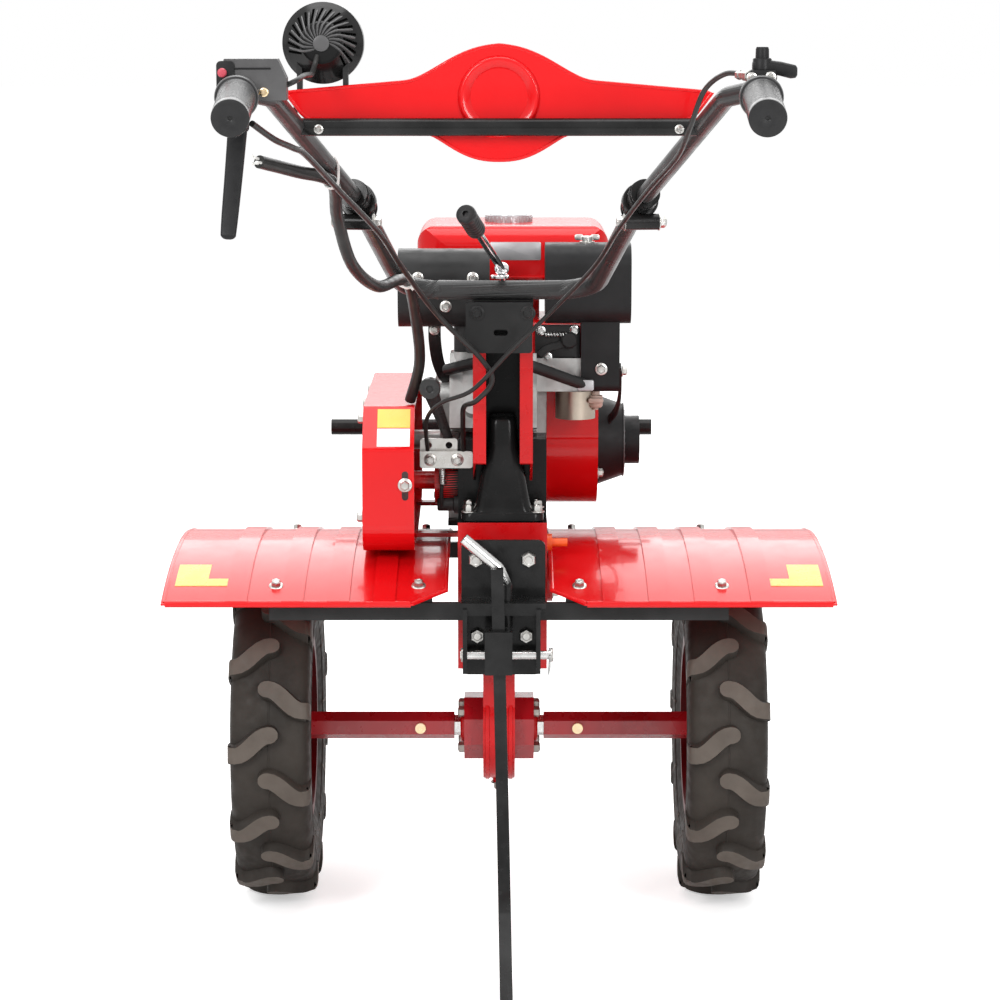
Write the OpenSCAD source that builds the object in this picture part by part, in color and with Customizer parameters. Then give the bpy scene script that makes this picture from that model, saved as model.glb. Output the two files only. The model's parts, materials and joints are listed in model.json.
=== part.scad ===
// Walk-behind two-wheel tractor, in millimetres.
// X points right as seen by the driver, Y points forward, Z points up.
// The origin lies on the ground under the middle of the whole machine.

/* [Wheels] */
// Outside diameter of a tyre over its lugs
tyre_d = 410; // [396:2:424]
// Width of a tyre
tyre_w = 96; // [90:1:104]
// Height of a tread lug
lug_h = 12; // [9:0.5:14]
// Number of lugs on each half of a tread
lugs = 12; // [10:1:14]
// Bead seat diameter of a rim
rim_d = 203; // [190:1:214]
// Distance between the wheel centres
track = 532; // [516:2:552]

/* [Axle] */
// Across flats of a hexagon axle tube
tube_af = 29; // [27:0.5:31]
// Across flats of the hexagon drive shaft
shaft_af = 22; // [20:0.5:23]
// Length of the drive shaft
shaft_len = 224; // [212:2:240]
// Distance of each axle pin from the centre
axle_pin_x = 95; // [86:1:98]
// Diameter of an axle pin
axle_pin_d = 8; // [6:0.5:9]

/* [Gearbox] */
// Width of the narrow final drive case
case_w = 38; // [34:1:42]
// Radius of the round foot of the final drive case
case_r = 64; // [58:1:68]
// Width of the main gearbox
gearbox_w = 104; // [100:1:108]
// Height of the rear step of the gearbox above the ground
gearbox_step_z = 475; // [468:1:480]
// Height of the top of the gearbox above the ground
gearbox_top_z = 565; // [556:1:572]

/* [Handlebar] */
// Distance of the handle ends behind the axle
handle_reach = 950; // [925:1:975]
// Height of the handle ends above the ground
handle_z = 971; // [950:1:995]
// Diameter of the lower handle tube
base_tube_d = 22; // [20:0.5:24]
// Diameter of the upper handle tubes
handle_tube_d = 19; // [17:0.5:20]
// Diameter of a grip
grip_d = 34; // [31:0.5:37]
// Length of a grip
grip_len = 118; // [110:1:122]
// Diameter of the crossbar
crossbar_d = 17; // [15:0.5:19]
// Half width of the dash panel
panel_half_w = 206; // [180:1:212]

/* [Fenders] */
// Overall width over both fenders
fender_span = 766; // [740:2:790]
// Height of the fender crest above the ground
fender_crest_z = 436; // [432:1:440]
// Sheet thickness of a fender
fender_t = 2; // [1.5:0.1:2.5]

/* [Hitch] */
// Width of the drag bar
drag_bar_w = 14; // [11:0.5:16]
// Distance of the drag bar foot behind the axle
drag_reach = 420; // [400:2:440]

/* [Belt drive] */
// Diameter of the engine pulley
engine_pulley_d = 92; // [84:1:100]
// Diameter of the gearbox pulley
gearbox_pulley_d = 128; // [116:1:132]
// Width of the belt guard
guard_w = 60; // [56:1:64]

/* [Engine] */
// Length of the fuel tank along the crankshaft
tank_len = 234; // [210:1:250]
// Height of the fuel tank
tank_h = 86; // [78:1:92]
// Diameter of the fuel cap
cap_d = 58; // [50:1:64]
// Diameter of the recoil starter
recoil_d = 112; // [100:1:120]

/* [Bumper] */
// Diameter of the bumper tube
bumper_d = 20.5; // [18:0.5:24]
// Half length of the bumper tube
bumper_half = 207; // [180:1:230]

/* [Hidden] */
$fn = 48;

// Clearances
seat_gap = 0.2;
run_gap = 0.5;

// Colours
red = [0.80, 0.05, 0.05];
dark_red = [0.55, 0.06, 0.07];
black = [0.06, 0.06, 0.06];
rubber_grey = [0.18, 0.16, 0.15];
steel = [0.75, 0.75, 0.73];
zinc = [0.82, 0.80, 0.70];
plug_orange = [0.90, 0.35, 0.10];
lens_clear = [0.85, 0.90, 0.95];

// Wheels
axle_z = tyre_d / 2;
bead_r = rim_d / 2;
bead_half = tyre_w / 2 - 12;
sidewall = 6;
tread_r = axle_z - lug_h;
flank_half = tyre_w / 2 - 2;
flank_low_r = bead_r + 34;
flank_high_r = tread_r - 19;
shoulder_r = tread_r - 8;
lug_w = 22;
lug_phase = 5;
lug_tip = 12;
lug_sweep = 25;
lug_root = 5;
rim_t = 3;
rim_lip = 10;
drop_r = bead_r - 20;
disc_in = 12;
disc_t = 4;
flange_t = 8;
flange_r = 52;
disc_x = track / 2 - disc_in;

// Final drive
journal_r = shaft_af / 2 - 0.5;
cover_x = 42;
cover_r = 38;
tube_x = 54;
case_top_z = 300;
case_half_y = 54;

// Gearbox, its centre line is a little right of the wheels' middle
gearbox_x = 4;
gearbox_lo = gearbox_x - gearbox_w / 2;
gearbox_hi = gearbox_x + gearbox_w / 2;
gearbox_rear_y = -122;
gearbox_step_y = -64;
gearbox_front_y = 40;
gearbox_neck_y = -8;
input_y = -35;
input_z = 512;
input_shaft_r = 11;
input_boss_r = 28;
input_boss_x = gearbox_lo - 28;
side_cover_y = -16;
side_cover_z = 392;
side_cover_r = 30;
plug_y = -100;
plug_z = 448;
plug_r = 10;

// Shift tower
tower_lo = gearbox_lo + 4;
tower_hi = gearbox_hi - 4;
tower_half = 17;
tower_flange_t = 11;
tower_waist_z = gearbox_step_z + 30;
tower_mid_z = gearbox_step_z + 82;
tower_top_z = gearbox_step_z + 122;
tower_gap = 1;

// Handle post
post_lo = gearbox_x - 34;
post_hi = gearbox_x + 35;
post_t = 3;
post_lip = 15;
post_rear_y = -134;
tower_front_y = gearbox_step_y - post_t - 1;

// Handlebar
base_y = -142;
handle_rise = 151;
base_z = tower_top_z + handle_rise;
post_top_z = base_z - 48;
base_half = 108;
clamp_half = 148;
clamp_y = -400;
clamp_rise = 116;
clamp_point = [clamp_half, clamp_y, base_z + clamp_rise];
corner_1_half = 210;
corner_1_ahead = 172;
corner_1_rise = 13;
corner_2_half = 236;
corner_2_ahead = 128;
corner_2_rise = 21;
grip_half = 233;
handle_corner_1 = [corner_1_half, corner_1_ahead - handle_reach, handle_z + corner_1_rise];
handle_corner_2 = [corner_2_half, corner_2_ahead - handle_reach, handle_z + corner_2_rise];
handle_end = [grip_half, -handle_reach, handle_z];
base_bend_r = 45;
handle_bend_r = 36;
clamp_len = 26;
clamp_d = 31;
clamp_boss = 36;
crossbar_share = 0.74;
crossbar_at = clamp_point + crossbar_share * (handle_corner_1 - clamp_point);
panel_t = 3;
panel_y = crossbar_at[1] + crossbar_d / 2 + seat_gap;
panel_rise = 23.2;
panel_mid_z = crossbar_at[2] + panel_rise;
lamp_x = -169;
lamp_ahead = 16;
lamp_rise = 56;
lamp_at = [lamp_x, panel_y + lamp_ahead, panel_mid_z + lamp_rise];
lamp_r = 39;
lamp_front = 22;
fin_skew = 22;

// Gear lever
gear_rod_d = 9;
gear_boss_r = 13;
gear_boss_h = 18;
gear_foot = [gearbox_x, (gearbox_step_y + gearbox_neck_y) / 2 - 14, gearbox_top_z + gear_boss_h];
gear_corner = [gearbox_x, gear_foot[1], base_z + base_tube_d / 2 + 7];
gear_eye = [3, -166, base_z + 26];
gear_tip = [-36, -340, base_z + 100];
gear_rod_end = gear_eye + (gear_tip - gear_eye) * 0.75;
gear_knob_d = 20;

// Fenders
fender_inner = 58;
fender_half_y = 230;
fender_drop = 36;
fender_r = (fender_half_y * fender_half_y + fender_drop * fender_drop) / (2 * fender_drop);
support_y = 200;
support_z = 376;
support_h = 20;
support_t = 8;
support_reach = 262;
support_tabs = [-250, -100, 76, 226];
support_tab_w = 24;

// Hitch
hitch_rear_y = -190;
hitch_lo = -43;
hitch_hi = 53;
hitch_z = 466;
shelf_t = 6;
shelf_z = support_z + support_h;
drag_y = -258;
drag_top_z = 446;
drag_bend_r = 260;
drag_turn = 48;
drag_lean = 1.3;
drag_bend_z = drag_bend_r * sin(drag_turn)
    + (drag_reach + drag_y - drag_bend_r * (1 - cos(drag_turn))) / tan(drag_turn);
drop_pin_at = [9, -224];
drop_pin_d = 13;
cross_pin_y = -229;
cross_pin_z = 341;
cross_pin_r = 5;
shelf_rear_y = -238;
yoke_lo = -41;
yoke_hi = 47;
yoke_rear_y = -244;
yoke_low_z = 314;
yoke_t = 5;
sleeve_lo = 327;
sleeve_hi = 376;
sleeve_mid_z = (sleeve_lo + sleeve_hi) / 2;

// Belt drive
guard_x = -158;
guard_t = 2;
guard_rear_y = -140;
guard_front_y = 244;
guard_low_z = 440;
guard_top_z = 608;
guard_slope = 48;
engine_y = 146;
engine_z = 535;
crank_r = 12;
groove_depth = 7;
belt_t = 6;
pulley_x = -128;

// Engine
engine_base_z = 450;
engine_lo = -72;
engine_hi = 58;
blower_hi = 121;
blower_r = 78;
blower_t = 4;
blower_top_z = 690;
crank_rear_y = 71;
crank_front_y = 221;
tank_y = 182;
tank_top_z = 804;
tank_mid_x = 17;
tank_w = 184;
tank_r = 24;
tank_wall = 3;
cap_x = 12;

exhaust_at = [-40, 21];
exhaust_z = 660;
exhaust_r = 14;

// Air cleaner, muffler and carburettor, each between two corners
cleaner_lo = [55, -13, 694];
cleaner_hi = [157, 61, 789];
column_lo = [98, 3, 612];
column_hi = [144, 61, 706];
muffler_lo = [-120, -19, 690];
muffler_hi = [-11, 61, 782];
shell_t = 4;
carb_lo = [45, 11, 612];
carb_hi = [column_lo[0], 51, 652];
bowl_at = [92, 31];
bowl_r = 24;
bowl_h = 34;
inlet_z = 632;
inlet_r = 9;
stay_d = 14;
stay_crest = [-28, -38, 652];
stay_bends = [stay_crest + [-19, 13, -6], stay_crest, stay_crest + [67, 1, -4]];
stay_start = stay_crest + [-34, 33, -12];
stay_end = [column_lo[0] + 6, column_lo[1] - stay_d / 2 + 0.4, 621];
head_top_z = 622;
shroud_lo_y = crank_rear_y + 10;
shroud_hi_y = crank_front_y - 10;

// Bumper
bumper_y = 298;
frame_front_y = 281;
bumper_z = 530;
bumper_mid_x = -10;
bumper_legs_x = [-60, 50];
bumper_leg_t = 8;
bumper_leg_foot = 26;
bumper_eye_r = bumper_d / 2 + 4;

// The whole length runs from the grips' ends to the bumper
rear_reach = -handle_end[1] + 3;
front_reach = bumper_y + bumper_eye_r;
axle_y = (rear_reach - front_reach) / 2;

// Routes of the held cables: beside the upper and the lower handle tubes, then down to their brackets
conduit_route = [
    left_upper(0.66, [-43, 0, -25]), left_upper(0.53, [-19, 0, -21]), left_upper(0.384, [4, 0, -17]),
    left_upper(0.21, [-5, 0, -35]), left_upper(0.053, [-3, 0, -70]), left_lower(0.767, [7, 0, -67]),
    left_lower(0.419, [13, 0, -28]), left_lower(0.225, [15, 0, -13]), left_lower(0.031, [13, 0, -26]),
    [-92, -100, 662], [-104, -70, guard_top_z + 4]
];
clutch_route = [
    flip_x(handle_end) + [10, 109, -9], flip_x(handle_corner_1) + [4, -22, -38],
    left_upper(0.926, [13, 0, -39]), left_upper(0.767, [12, 0, -30]), left_upper(0.423, [16, 0, -31]),
    left_upper(0.079, [27, 0, -39]), left_lower(0.612, [26, 0, -31]), left_lower(0.244, [48, 0, -50]),
    [-20, -174, 672], [-8, -164, 645], [-26, -156, 622], [-40, -128, 612], [-42, -100, 590],
    [-42, -66, 552.4]
];
throttle_route = [
    handle_end + [-11, 102, 34], handle_corner_1 + [-4, -37, 22], handle_corner_1 + [-20, 8, 6],
    right_upper(0.886, [-23, 0, -14]), right_upper(0.741, [-20, 0, -23]), right_upper(0.608, [-20, 0, -25]),
    right_upper(0.37, [-21, 0, -24]), right_upper(0.053, [-25, 0, -32]), right_lower(0.574, [-27, 0, -28]),
    right_lower(0.244, [-62, 0, -50]), [10, -188, 680], [-30, -166, 636], [-66, -142, 618],
    [-84, -112, 594], [-84, -66, 552.2]
];

// Points beside the handle tubes, at a share of a tube's run and at an offset from its middle line
function right_upper(share, off) = clamp_point + share * (handle_corner_1 - clamp_point) + off;
function left_upper(share, off) = flip_x(right_upper(share, [0, 0, 0])) + off;
function right_lower(share, off) =
    let (foot = [base_half, base_y, base_z]) foot + share * (clamp_point - foot) + off;
function left_lower(share, off) = flip_x(right_lower(share, [0, 0, 0])) + off;

// Machine frame: axle at y = 0, heights from the ground
module place() {
    translate([0, axle_y, 0]) children();
}

// Both sides of the machine
module both_sides() {
    children();
    mirror([1, 0, 0]) children();
}

// A flat drawing in Y and Z, made solid along X
module along_x(from, to) {
    translate([from, 0, 0]) rotate([90, 0, 90]) linear_extrude(to - from) children();
}

// A flat drawing in X and Z, made solid along Y
module along_y(from, to) {
    translate([0, to, 0]) rotate([90, 0, 0]) linear_extrude(to - from) children();
}

// A flat drawing in X and Y, made solid along Z
module along_z(from, to) {
    translate([0, 0, from]) linear_extrude(to - from) children();
}

// A rectangle between two corners, its own corners rounded
module rounded(lo, hi, r) {
    translate([lo[0] + r, lo[1]]) square([hi[0] - lo[0] - 2 * r, hi[1] - lo[1]]);
    translate([lo[0], lo[1] + r]) square([hi[0] - lo[0], hi[1] - lo[1] - 2 * r]);
    for (x = [lo[0] + r, hi[0] - r], y = [lo[1] + r, hi[1] - r]) translate([x, y]) circle(r = r);
}

// A rectangle between two corners
module plain(lo, hi) {
    translate(lo) square(hi - lo);
}

// A cylinder along X
module x_rod(from, to, y, z, r) {
    translate([from, y, z]) rotate([0, 90, 0]) cylinder(r = r, h = to - from);
}

// A cylinder along Y
module y_rod(from, to, x, z, r) {
    translate([x, to, z]) rotate([90, 0, 0]) cylinder(r = r, h = to - from);
}

// A hexagon bar along X, one flat facing the rear
module x_hex(from, to, across) {
    translate([from, 0, 0]) rotate([0, 90, 0]) cylinder(d = across / cos(30), h = to - from, $fn = 6);
}

// A round bar between two points
module rod(from, to, d) {
    run = to - from;
    translate(from)
        rotate([0, acos(run[2] / norm(run)), atan2(run[1], run[0])])
            cylinder(d = d, h = norm(run));
}

function unit(v) = v / norm(v);
function flip_x(p) = [-p[0], p[1], p[2]];

// The points of a round corner between two straight runs
function corner_points(corner, before, after, bend_r, steps) =
    let (
        turn = acos(before * after),
        inward = unit(after - before * (after * before)),
        centre = corner - before * bend_r * tan(turn / 2) + inward * bend_r
    )
    [for (i = [0:steps])
        centre + bend_r * (sin(turn * i / steps) * before - cos(turn * i / steps) * inward)];

// A path along corner points, with every inner corner rounded
function rounded_path(points, bend_r, steps) =
    let (last = len(points) - 1)
    concat(
        [points[0]],
        [for (i = [1:1:last - 1])
            each corner_points(points[i], unit(points[i] - points[i - 1]),
                unit(points[i + 1] - points[i]), bend_r, steps)],
        [points[last]]
    );

// A round bar swept along a path
module sweep(path, d, sides) {
    last = len(path) - 1;
    ahead = [for (i = [0:last])
        i == 0 ? unit(path[1] - path[0])
        : i == last ? unit(path[last] - path[last - 1])
        : unit(unit(path[i + 1] - path[i]) + unit(path[i] - path[i - 1]))];
    rings = [for (i = [0:last], k = [0:sides - 1])
        let (across = unit(cross(ahead[i], [0.96, 0.2, 0.2])), up = cross(across, ahead[i]))
        path[i] + d / 2 * (cos(360 * k / sides) * across + sin(360 * k / sides) * up)];
    walls = [for (i = [0:last - 1], k = [0:sides - 1])
        let (a = i * sides + k, b = i * sides + (k + 1) % sides)
        [a, b, b + sides, a + sides]];
    caps = [[for (k = [sides - 1:-1:0]) k], [for (k = [0:sides - 1]) last * sides + k]];
    polyhedron(rings, concat(walls, caps), convexity = 10);
}

// A round bar along corner points, with bends of one radius
module bent_rod(points, d, bend_r, sides = 24) {
    sweep(rounded_path(points, bend_r, 6), d, sides);
}

function between(a, b, c, d, t) =
    0.5 * (2 * b + (c - a) * t + (2 * a - 5 * b + 4 * c - d) * t * t
        + (3 * b - a - 3 * c + d) * t * t * t);

// A smooth curve through the points of a route
function smooth(route, steps) = concat(
    [for (i = [0:len(route) - 2], k = [0:steps - 1])
        between(route[max(i - 1, 0)], route[i], route[i + 1],
            route[min(i + 2, len(route) - 1)], k / steps)],
    [route[len(route) - 1]]
);

// A plain cable along a curve
module cable(route, d) {
    sweep(smooth(route, 3), d, 8);
}

// Wheels

// Half of the bare tyre's outer profile, from the bead to the middle of the tread
function tyre_profile(inset) = [
    [flank_low_r, flank_half - inset], [flank_high_r, flank_half - inset],
    [shoulder_r - inset / 2, flank_half - 4 - inset], [tread_r - 2 - inset, flank_half - 12 - inset],
    [tread_r - inset, 20]
];

function flip_y(points) = [for (i = [len(points) - 1:-1:0]) [points[i][0], -points[i][1]]];

module tyre_section() {
    bead = [[bead_r, bead_half], [bead_r + rim_lip + 2, bead_half]];
    mouth = [[bead_r - 1, bead_half - sidewall], [flank_low_r, bead_half - sidewall]];
    outside = concat(bead, tyre_profile(0));
    inside = concat(mouth, tyre_profile(sidewall));
    difference() {
        polygon(concat(outside, flip_y(outside)));
        polygon(concat(inside, flip_y(inside)));
    }
}

// The ring that the lugs fill: from inside the tyre's wall out to the lug tops
module lug_section() {
    half = tyre_w / 2;
    outside = [
        [flank_high_r - 10, half], [shoulder_r + 6, half], [axle_z - 5, half - 7],
        [axle_z - 1, half - 18], [axle_z, half - 30]
    ];
    inside = [
        [flank_high_r - 10, half - lug_root], [flank_high_r, half - lug_root],
        [shoulder_r - lug_root / 2, half - 9], [tread_r - lug_root, half - 18]
    ];
    left = [for (p = inside) [p[0], -p[1]]];
    right = [for (i = [len(inside) - 1:-1:0]) inside[i]];
    polygon(concat(outside, flip_y(outside), left, right));
}

// A lug seen from outside: a round tip past the middle line, swept down to the shoulder
function lug_drop(x) = lug_sweep * (1 - cos(180 * min(1, max(0, x / (tyre_w / 2 - 8))))) / 2;

// Half width along the tread, wider where the lug slants
function lug_half(x) = lug_w / 2 * norm([1, lug_drop(x + 0.5) - lug_drop(x - 0.5)]);

module lug_outline() {
    tip_x = lug_w / 2 - lug_tip;
    xs = [for (i = [0:5]) tip_x + (tyre_w / 2 + 2 - tip_x) * i / 5];
    polygon(concat(
        [for (x = xs) [x, lug_half(x) - lug_drop(x)]],
        [for (i = [5:-1:0]) [xs[i], -lug_half(xs[i]) - lug_drop(xs[i])]],
        [for (a = [225, 180, 135]) [tip_x + lug_w / 2 * cos(a), lug_w / 2 * sin(a)]]
    ));
}

module lug_ring() {
    for (i = [0:lugs - 1], s = [0, 1])
        rotate([360 / lugs * (i + s / 2) + lug_phase, 0, 0]) mirror([s, 0, 0])
            translate([0, 0, flank_high_r - 20]) linear_extrude(axle_z - flank_high_r + 30) lug_outline();
}

module tyre(side) {
    color(rubber_grey) place() translate([side * track / 2, 0, axle_z]) {
        rotate([0, 90, 0]) rotate_extrude($fn = 96) tyre_section();
        intersection() {
            rotate([0, 90, 0]) rotate_extrude($fn = 96) lug_section();
            lug_ring();
        }
    }
}

module tyre_left() { tyre(-1); }
module tyre_right() { tyre(1); }

module rim_section() {
    seat = bead_r - seat_gap;
    outer = bead_half + seat_gap;
    well = [[seat, 24], [drop_r, 17], [drop_r, -17], [seat, -24]];
    polygon(concat(
        [[seat + rim_lip, outer + rim_t], [seat + rim_lip, outer], [seat, outer]],
        well,
        [[seat, -outer], [seat + rim_lip, -outer], [seat + rim_lip, -outer - rim_t]],
        [[seat - rim_t, -outer - rim_t], [seat - rim_t, -24]],
        [[drop_r - rim_t, -17], [drop_r - rim_t, 17], [seat - rim_t, 24], [seat - rim_t, outer + rim_t]]
    ));
}

module rim(side) {
    color(dark_red) place() translate([side * track / 2, 0, axle_z]) mirror([side > 0 ? 0 : 1, 0, 0]) {
        rotate([0, 90, 0]) rotate_extrude($fn = 96) rim_section();
        difference() {
            x_rod(-disc_in, disc_t - disc_in, 0, 0, drop_r - rim_t / 2);
            x_rod(-disc_in - 1, disc_t - disc_in + 1, 0, 0, tube_af / 2);
        }
    }
}

module rim_left() { rim(-1); }
module rim_right() { rim(1); }

// Axle

module axle_tube(side) {
    color(dark_red) place() translate([0, 0, axle_z]) mirror([side > 0 ? 0 : 1, 0, 0]) difference() {
        union() {
            x_hex(tube_x, disc_x - flange_t, tube_af);
            x_rod(disc_x - flange_t, disc_x, 0, 0, flange_r);
        }
        x_hex(tube_x - 1, disc_x + 1, shaft_af + 2 * seat_gap);
        y_rod(-tube_af, tube_af, axle_pin_x, 0, axle_pin_d / 2 + seat_gap);
    }
}

module axle_tube_left() { axle_tube(-1); }
module axle_tube_right() { axle_tube(1); }

module drive_shaft() {
    color(steel) place() translate([0, 0, axle_z]) difference() {
        union() {
            x_hex(-shaft_len / 2, -cover_x - 1, shaft_af);
            x_hex(cover_x + 1, shaft_len / 2, shaft_af);
            x_rod(-cover_x - 1, cover_x + 1, 0, 0, journal_r);
        }
        for (s = [-1, 1]) y_rod(-tube_af, tube_af, s * axle_pin_x, 0, axle_pin_d / 2 + seat_gap);
    }
}

module axle_pins() {
    head = 5;
    color(zinc) place() translate([0, 0, axle_z]) for (s = [-1, 1]) {
        y_rod(-tube_af / 2, tube_af / 2, s * axle_pin_x, 0, axle_pin_d / 2);
        y_rod(-tube_af / 2 - head, -tube_af / 2, s * axle_pin_x, 0, axle_pin_d * 0.8);
        translate([s * axle_pin_x, tube_af / 2 + head + 1, 0]) rotate([90, 0, 0])
            cylinder(r = axle_pin_d * 0.85, h = head + 1, $fn = 6);
    }
}

// Final drive

module final_drive_case() {
    color(red) place() difference() {
        union() {
            along_x(-case_w / 2, case_w / 2) {
                translate([0, axle_z]) circle(r = case_r, $fn = 96);
                plain([-case_half_y, axle_z], [case_half_y, case_top_z]);
            }
            translate([0, 0, axle_z - case_r - 6]) cylinder(r = 8, h = 20);
        }
        x_rod(-case_w, case_w, 0, axle_z, journal_r + run_gap);
    }
}

module bearing_covers() {
    bolt_circle = cover_r - 7;
    color(red) place() translate([0, 0, axle_z]) both_sides() difference() {
        union() {
            translate([case_w / 2, 0, 0]) rotate([0, 90, 0]) rotate([0, 0, 22.5])
                cylinder(r = cover_r / cos(22.5), h = cover_x - case_w / 2, $fn = 8);
            for (a = [45:90:315]) rotate([a, 0, 0]) translate([cover_x, 0, bolt_circle])
                rotate([0, 90, 0]) cylinder(r = 5, h = 6, $fn = 6);
        }
        x_rod(0, cover_x + 10, 0, 0, journal_r + run_gap);
    }
}

// Gearbox

module main_gearbox() {
    corner_r = 8;
    color(red) place() {
        along_x(gearbox_lo, gearbox_hi) {
            rounded([gearbox_rear_y, case_top_z], [gearbox_front_y, gearbox_step_z], corner_r);
            plain([gearbox_rear_y, gearbox_step_z - 20], [gearbox_step_y, gearbox_step_z]);
            plain([gearbox_step_y, gearbox_step_z - 20], [gearbox_neck_y, gearbox_top_z]);
        }
        x_rod(input_boss_x, gearbox_lo, input_y, input_z, input_boss_r);
        x_rod(guard_x + 8, input_boss_x, input_y, input_z, input_shaft_r);
        x_rod(gearbox_hi, gearbox_hi + 8, side_cover_y, side_cover_z, side_cover_r);
        translate([gear_foot[0], gear_foot[1], gearbox_top_z]) cylinder(r = gear_boss_r, h = gear_boss_h);
    }
}

module oil_plug() {
    flange_t = 6;
    stem = 18;
    color(plug_orange) place() {
        x_rod(gearbox_hi, gearbox_hi + flange_t, plug_y, plug_z, plug_r);
        x_rod(gearbox_hi + flange_t, gearbox_hi + flange_t + stem, plug_y, plug_z, plug_r / 2);
    }
}

// A flange, a flared foot, a housing between the post's plates and a tall block behind it
module shift_tower() {
    r = 6;
    flange_top = gearbox_step_z + tower_flange_t;
    rear = gearbox_rear_y + r;
    in_lo = post_lo + post_t + tower_gap;
    in_hi = post_hi - post_t - tower_gap;
    color(black) place() {
        along_z(gearbox_step_z, flange_top)
            rounded([tower_lo, gearbox_rear_y + 2], [tower_hi, tower_front_y], r);
        hull() {
            along_z(flange_top, flange_top + 1)
                rounded([tower_lo + 2 * r, gearbox_rear_y + 3], [tower_hi - 2 * r, tower_front_y], r);
            along_z(tower_waist_z, tower_waist_z + 1)
                rounded([in_lo, rear + r], [in_hi, tower_front_y], r);
        }
        along_y(rear + r, tower_front_y) rounded([in_lo, tower_waist_z - r], [in_hi, tower_mid_z], r);
        along_y(gearbox_rear_y + 3, tower_front_y) rounded(
            [gearbox_x - tower_half, flange_top], [gearbox_x + tower_half, tower_top_z], r);
    }
}

// Handle post: a sheet channel, open to the rear between two lips

module handle_post() {
    web_y = gearbox_step_y - post_t;
    color(red) place() difference() {
        along_z(gearbox_step_z + 44, post_top_z) difference() {
            plain([post_lo, post_rear_y], [post_hi, gearbox_step_y]);
            plain([post_lo + post_t, post_rear_y + post_t], [post_hi - post_t, web_y]);
            plain([post_lo + post_lip, post_rear_y - 1], [post_hi - post_lip, post_rear_y + post_t + 1]);
        }
        along_x(post_lo - 1, post_hi + 1) polygon([
            [post_rear_y - 1, gearbox_step_z + 30], [gearbox_step_y - 18, gearbox_step_z + 30],
            [gearbox_step_y - 18, gearbox_step_z + 44], [post_rear_y - 1, gearbox_step_z + 72]
        ]);
    }
}

// A saddle under the lower handle tube, with a slotted plate behind it
module handle_bracket() {
    saddle_r = base_tube_d / 2 + seat_gap;
    plate_y = base_y - base_tube_d / 2 - 1;
    plate_t = 4;
    plate_half = 38;
    plate_top_z = base_z - base_tube_d / 2 - 2;
    slot_z = post_top_z - 3;
    color(black) place() difference() {
        union() {
            along_x(post_lo, post_hi) polygon([
                [post_rear_y, post_top_z], [gearbox_step_y, post_top_z],
                [gearbox_step_y, post_top_z + 18], [base_y + 26, base_z + 6], [base_y, base_z + 6],
                [base_y, plate_top_z], [plate_y, plate_top_z], [plate_y, post_top_z + 10],
                [post_rear_y, post_top_z + 10]
            ]);
            along_y(plate_y - plate_t, plate_y)
                rounded([-plate_half, plate_top_z - 58], [plate_half, plate_top_z], 4);
        }
        x_rod(post_lo - 1, post_hi + 1, base_y, base_z, saddle_r);
        along_x(post_lo - 1, post_hi + 1)
            plain([base_y - saddle_r, base_z], [base_y + saddle_r, base_z + 20]);
        along_y(plate_y - plate_t - 1, plate_y + 1) rounded([-6, slot_z], [10, slot_z + 7], 3);
    }
}

// Handlebar

module handle_base() {
    corner = [base_half, base_y, base_z];
    color(black) place()
        bent_rod([flip_x(clamp_point), flip_x(corner), corner, clamp_point], base_tube_d, base_bend_r);
}

function base_run() = unit(clamp_point - [base_half, base_y, base_z]);
function handle_run() = unit(handle_corner_1 - clamp_point);

// The joint end of a handle tube keeps clear of the base tube's end
function handle_start() = clamp_point + handle_run() * 6;

module handle_tube(side) {
    points = [handle_start(), handle_corner_1, handle_corner_2, handle_end];
    sided = side > 0 ? points : [for (p = points) flip_x(p)];
    color(black) place() bent_rod(sided, handle_tube_d, handle_bend_r);
}

module handle_left() { handle_tube(-1); }
module handle_right() { handle_tube(1); }

// A clamp block holds the ends of a lower and an upper tube in two blind bores
module handle_clamps() {
    run = unit(base_run() + handle_run());
    front = clamp_point - run * clamp_len;
    rear = handle_start() + run * clamp_len;
    side = unit(cross(run, [0, 0, 1]));
    boss = (front + rear) / 2 - unit(cross(side, run)) * (clamp_d / 2 + 7);
    color(black) place() both_sides() difference() {
        union() {
            rod(front, rear, clamp_d);
            rod(boss - side * clamp_boss / 2, boss + side * clamp_boss / 2, 17);
        }
        rod(clamp_point - base_run() * 2 * clamp_len, clamp_point + base_run() * seat_gap,
            base_tube_d + 2 * seat_gap);
        rod(handle_start() - handle_run() * seat_gap, handle_start() + handle_run() * 2 * clamp_len,
            handle_tube_d + 2 * seat_gap);
    }
}

module crossbar() {
    color(black) place() difference() {
        x_rod(-crossbar_at[0], crossbar_at[0], crossbar_at[1], crossbar_at[2], crossbar_d / 2);
        both_sides() rod(clamp_point, handle_corner_1, handle_tube_d + 2 * seat_gap);
    }
}

module grip(side) {
    run = unit(handle_corner_2 - handle_end);
    tail = handle_end - run * 3;
    color(black) place() mirror([side > 0 ? 0 : 1, 0, 0]) difference() {
        union() {
            rod(tail, handle_end + run * (grip_len - 22), grip_d);
            rod(handle_end + run * (grip_len - 28), handle_end + run * (grip_len - 22), grip_d + 6);
        }
        rod(handle_end, handle_end + run * grip_len, handle_tube_d + 2 * seat_gap);
        rod(tail - run, handle_end + run, 4);
    }
}

module grip_left() { grip(-1); }
module grip_right() { grip(1); }

// Dash panel: a wide wing with a hump above and below its dome

function panel_hump(x, half, share) = pow(max(0, 1 - pow(abs(x) / half, 2.4)), share);
function panel_top(x) = 9 + 18 * (1 - abs(x) / panel_half_w) + 27 * panel_hump(x, 92, 2.2);
function panel_low(x) = 5 + 25 * sqrt(max(0, 1 - pow(x / panel_half_w, 4))) + 25 * panel_hump(x, 72, 1.5);

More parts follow.
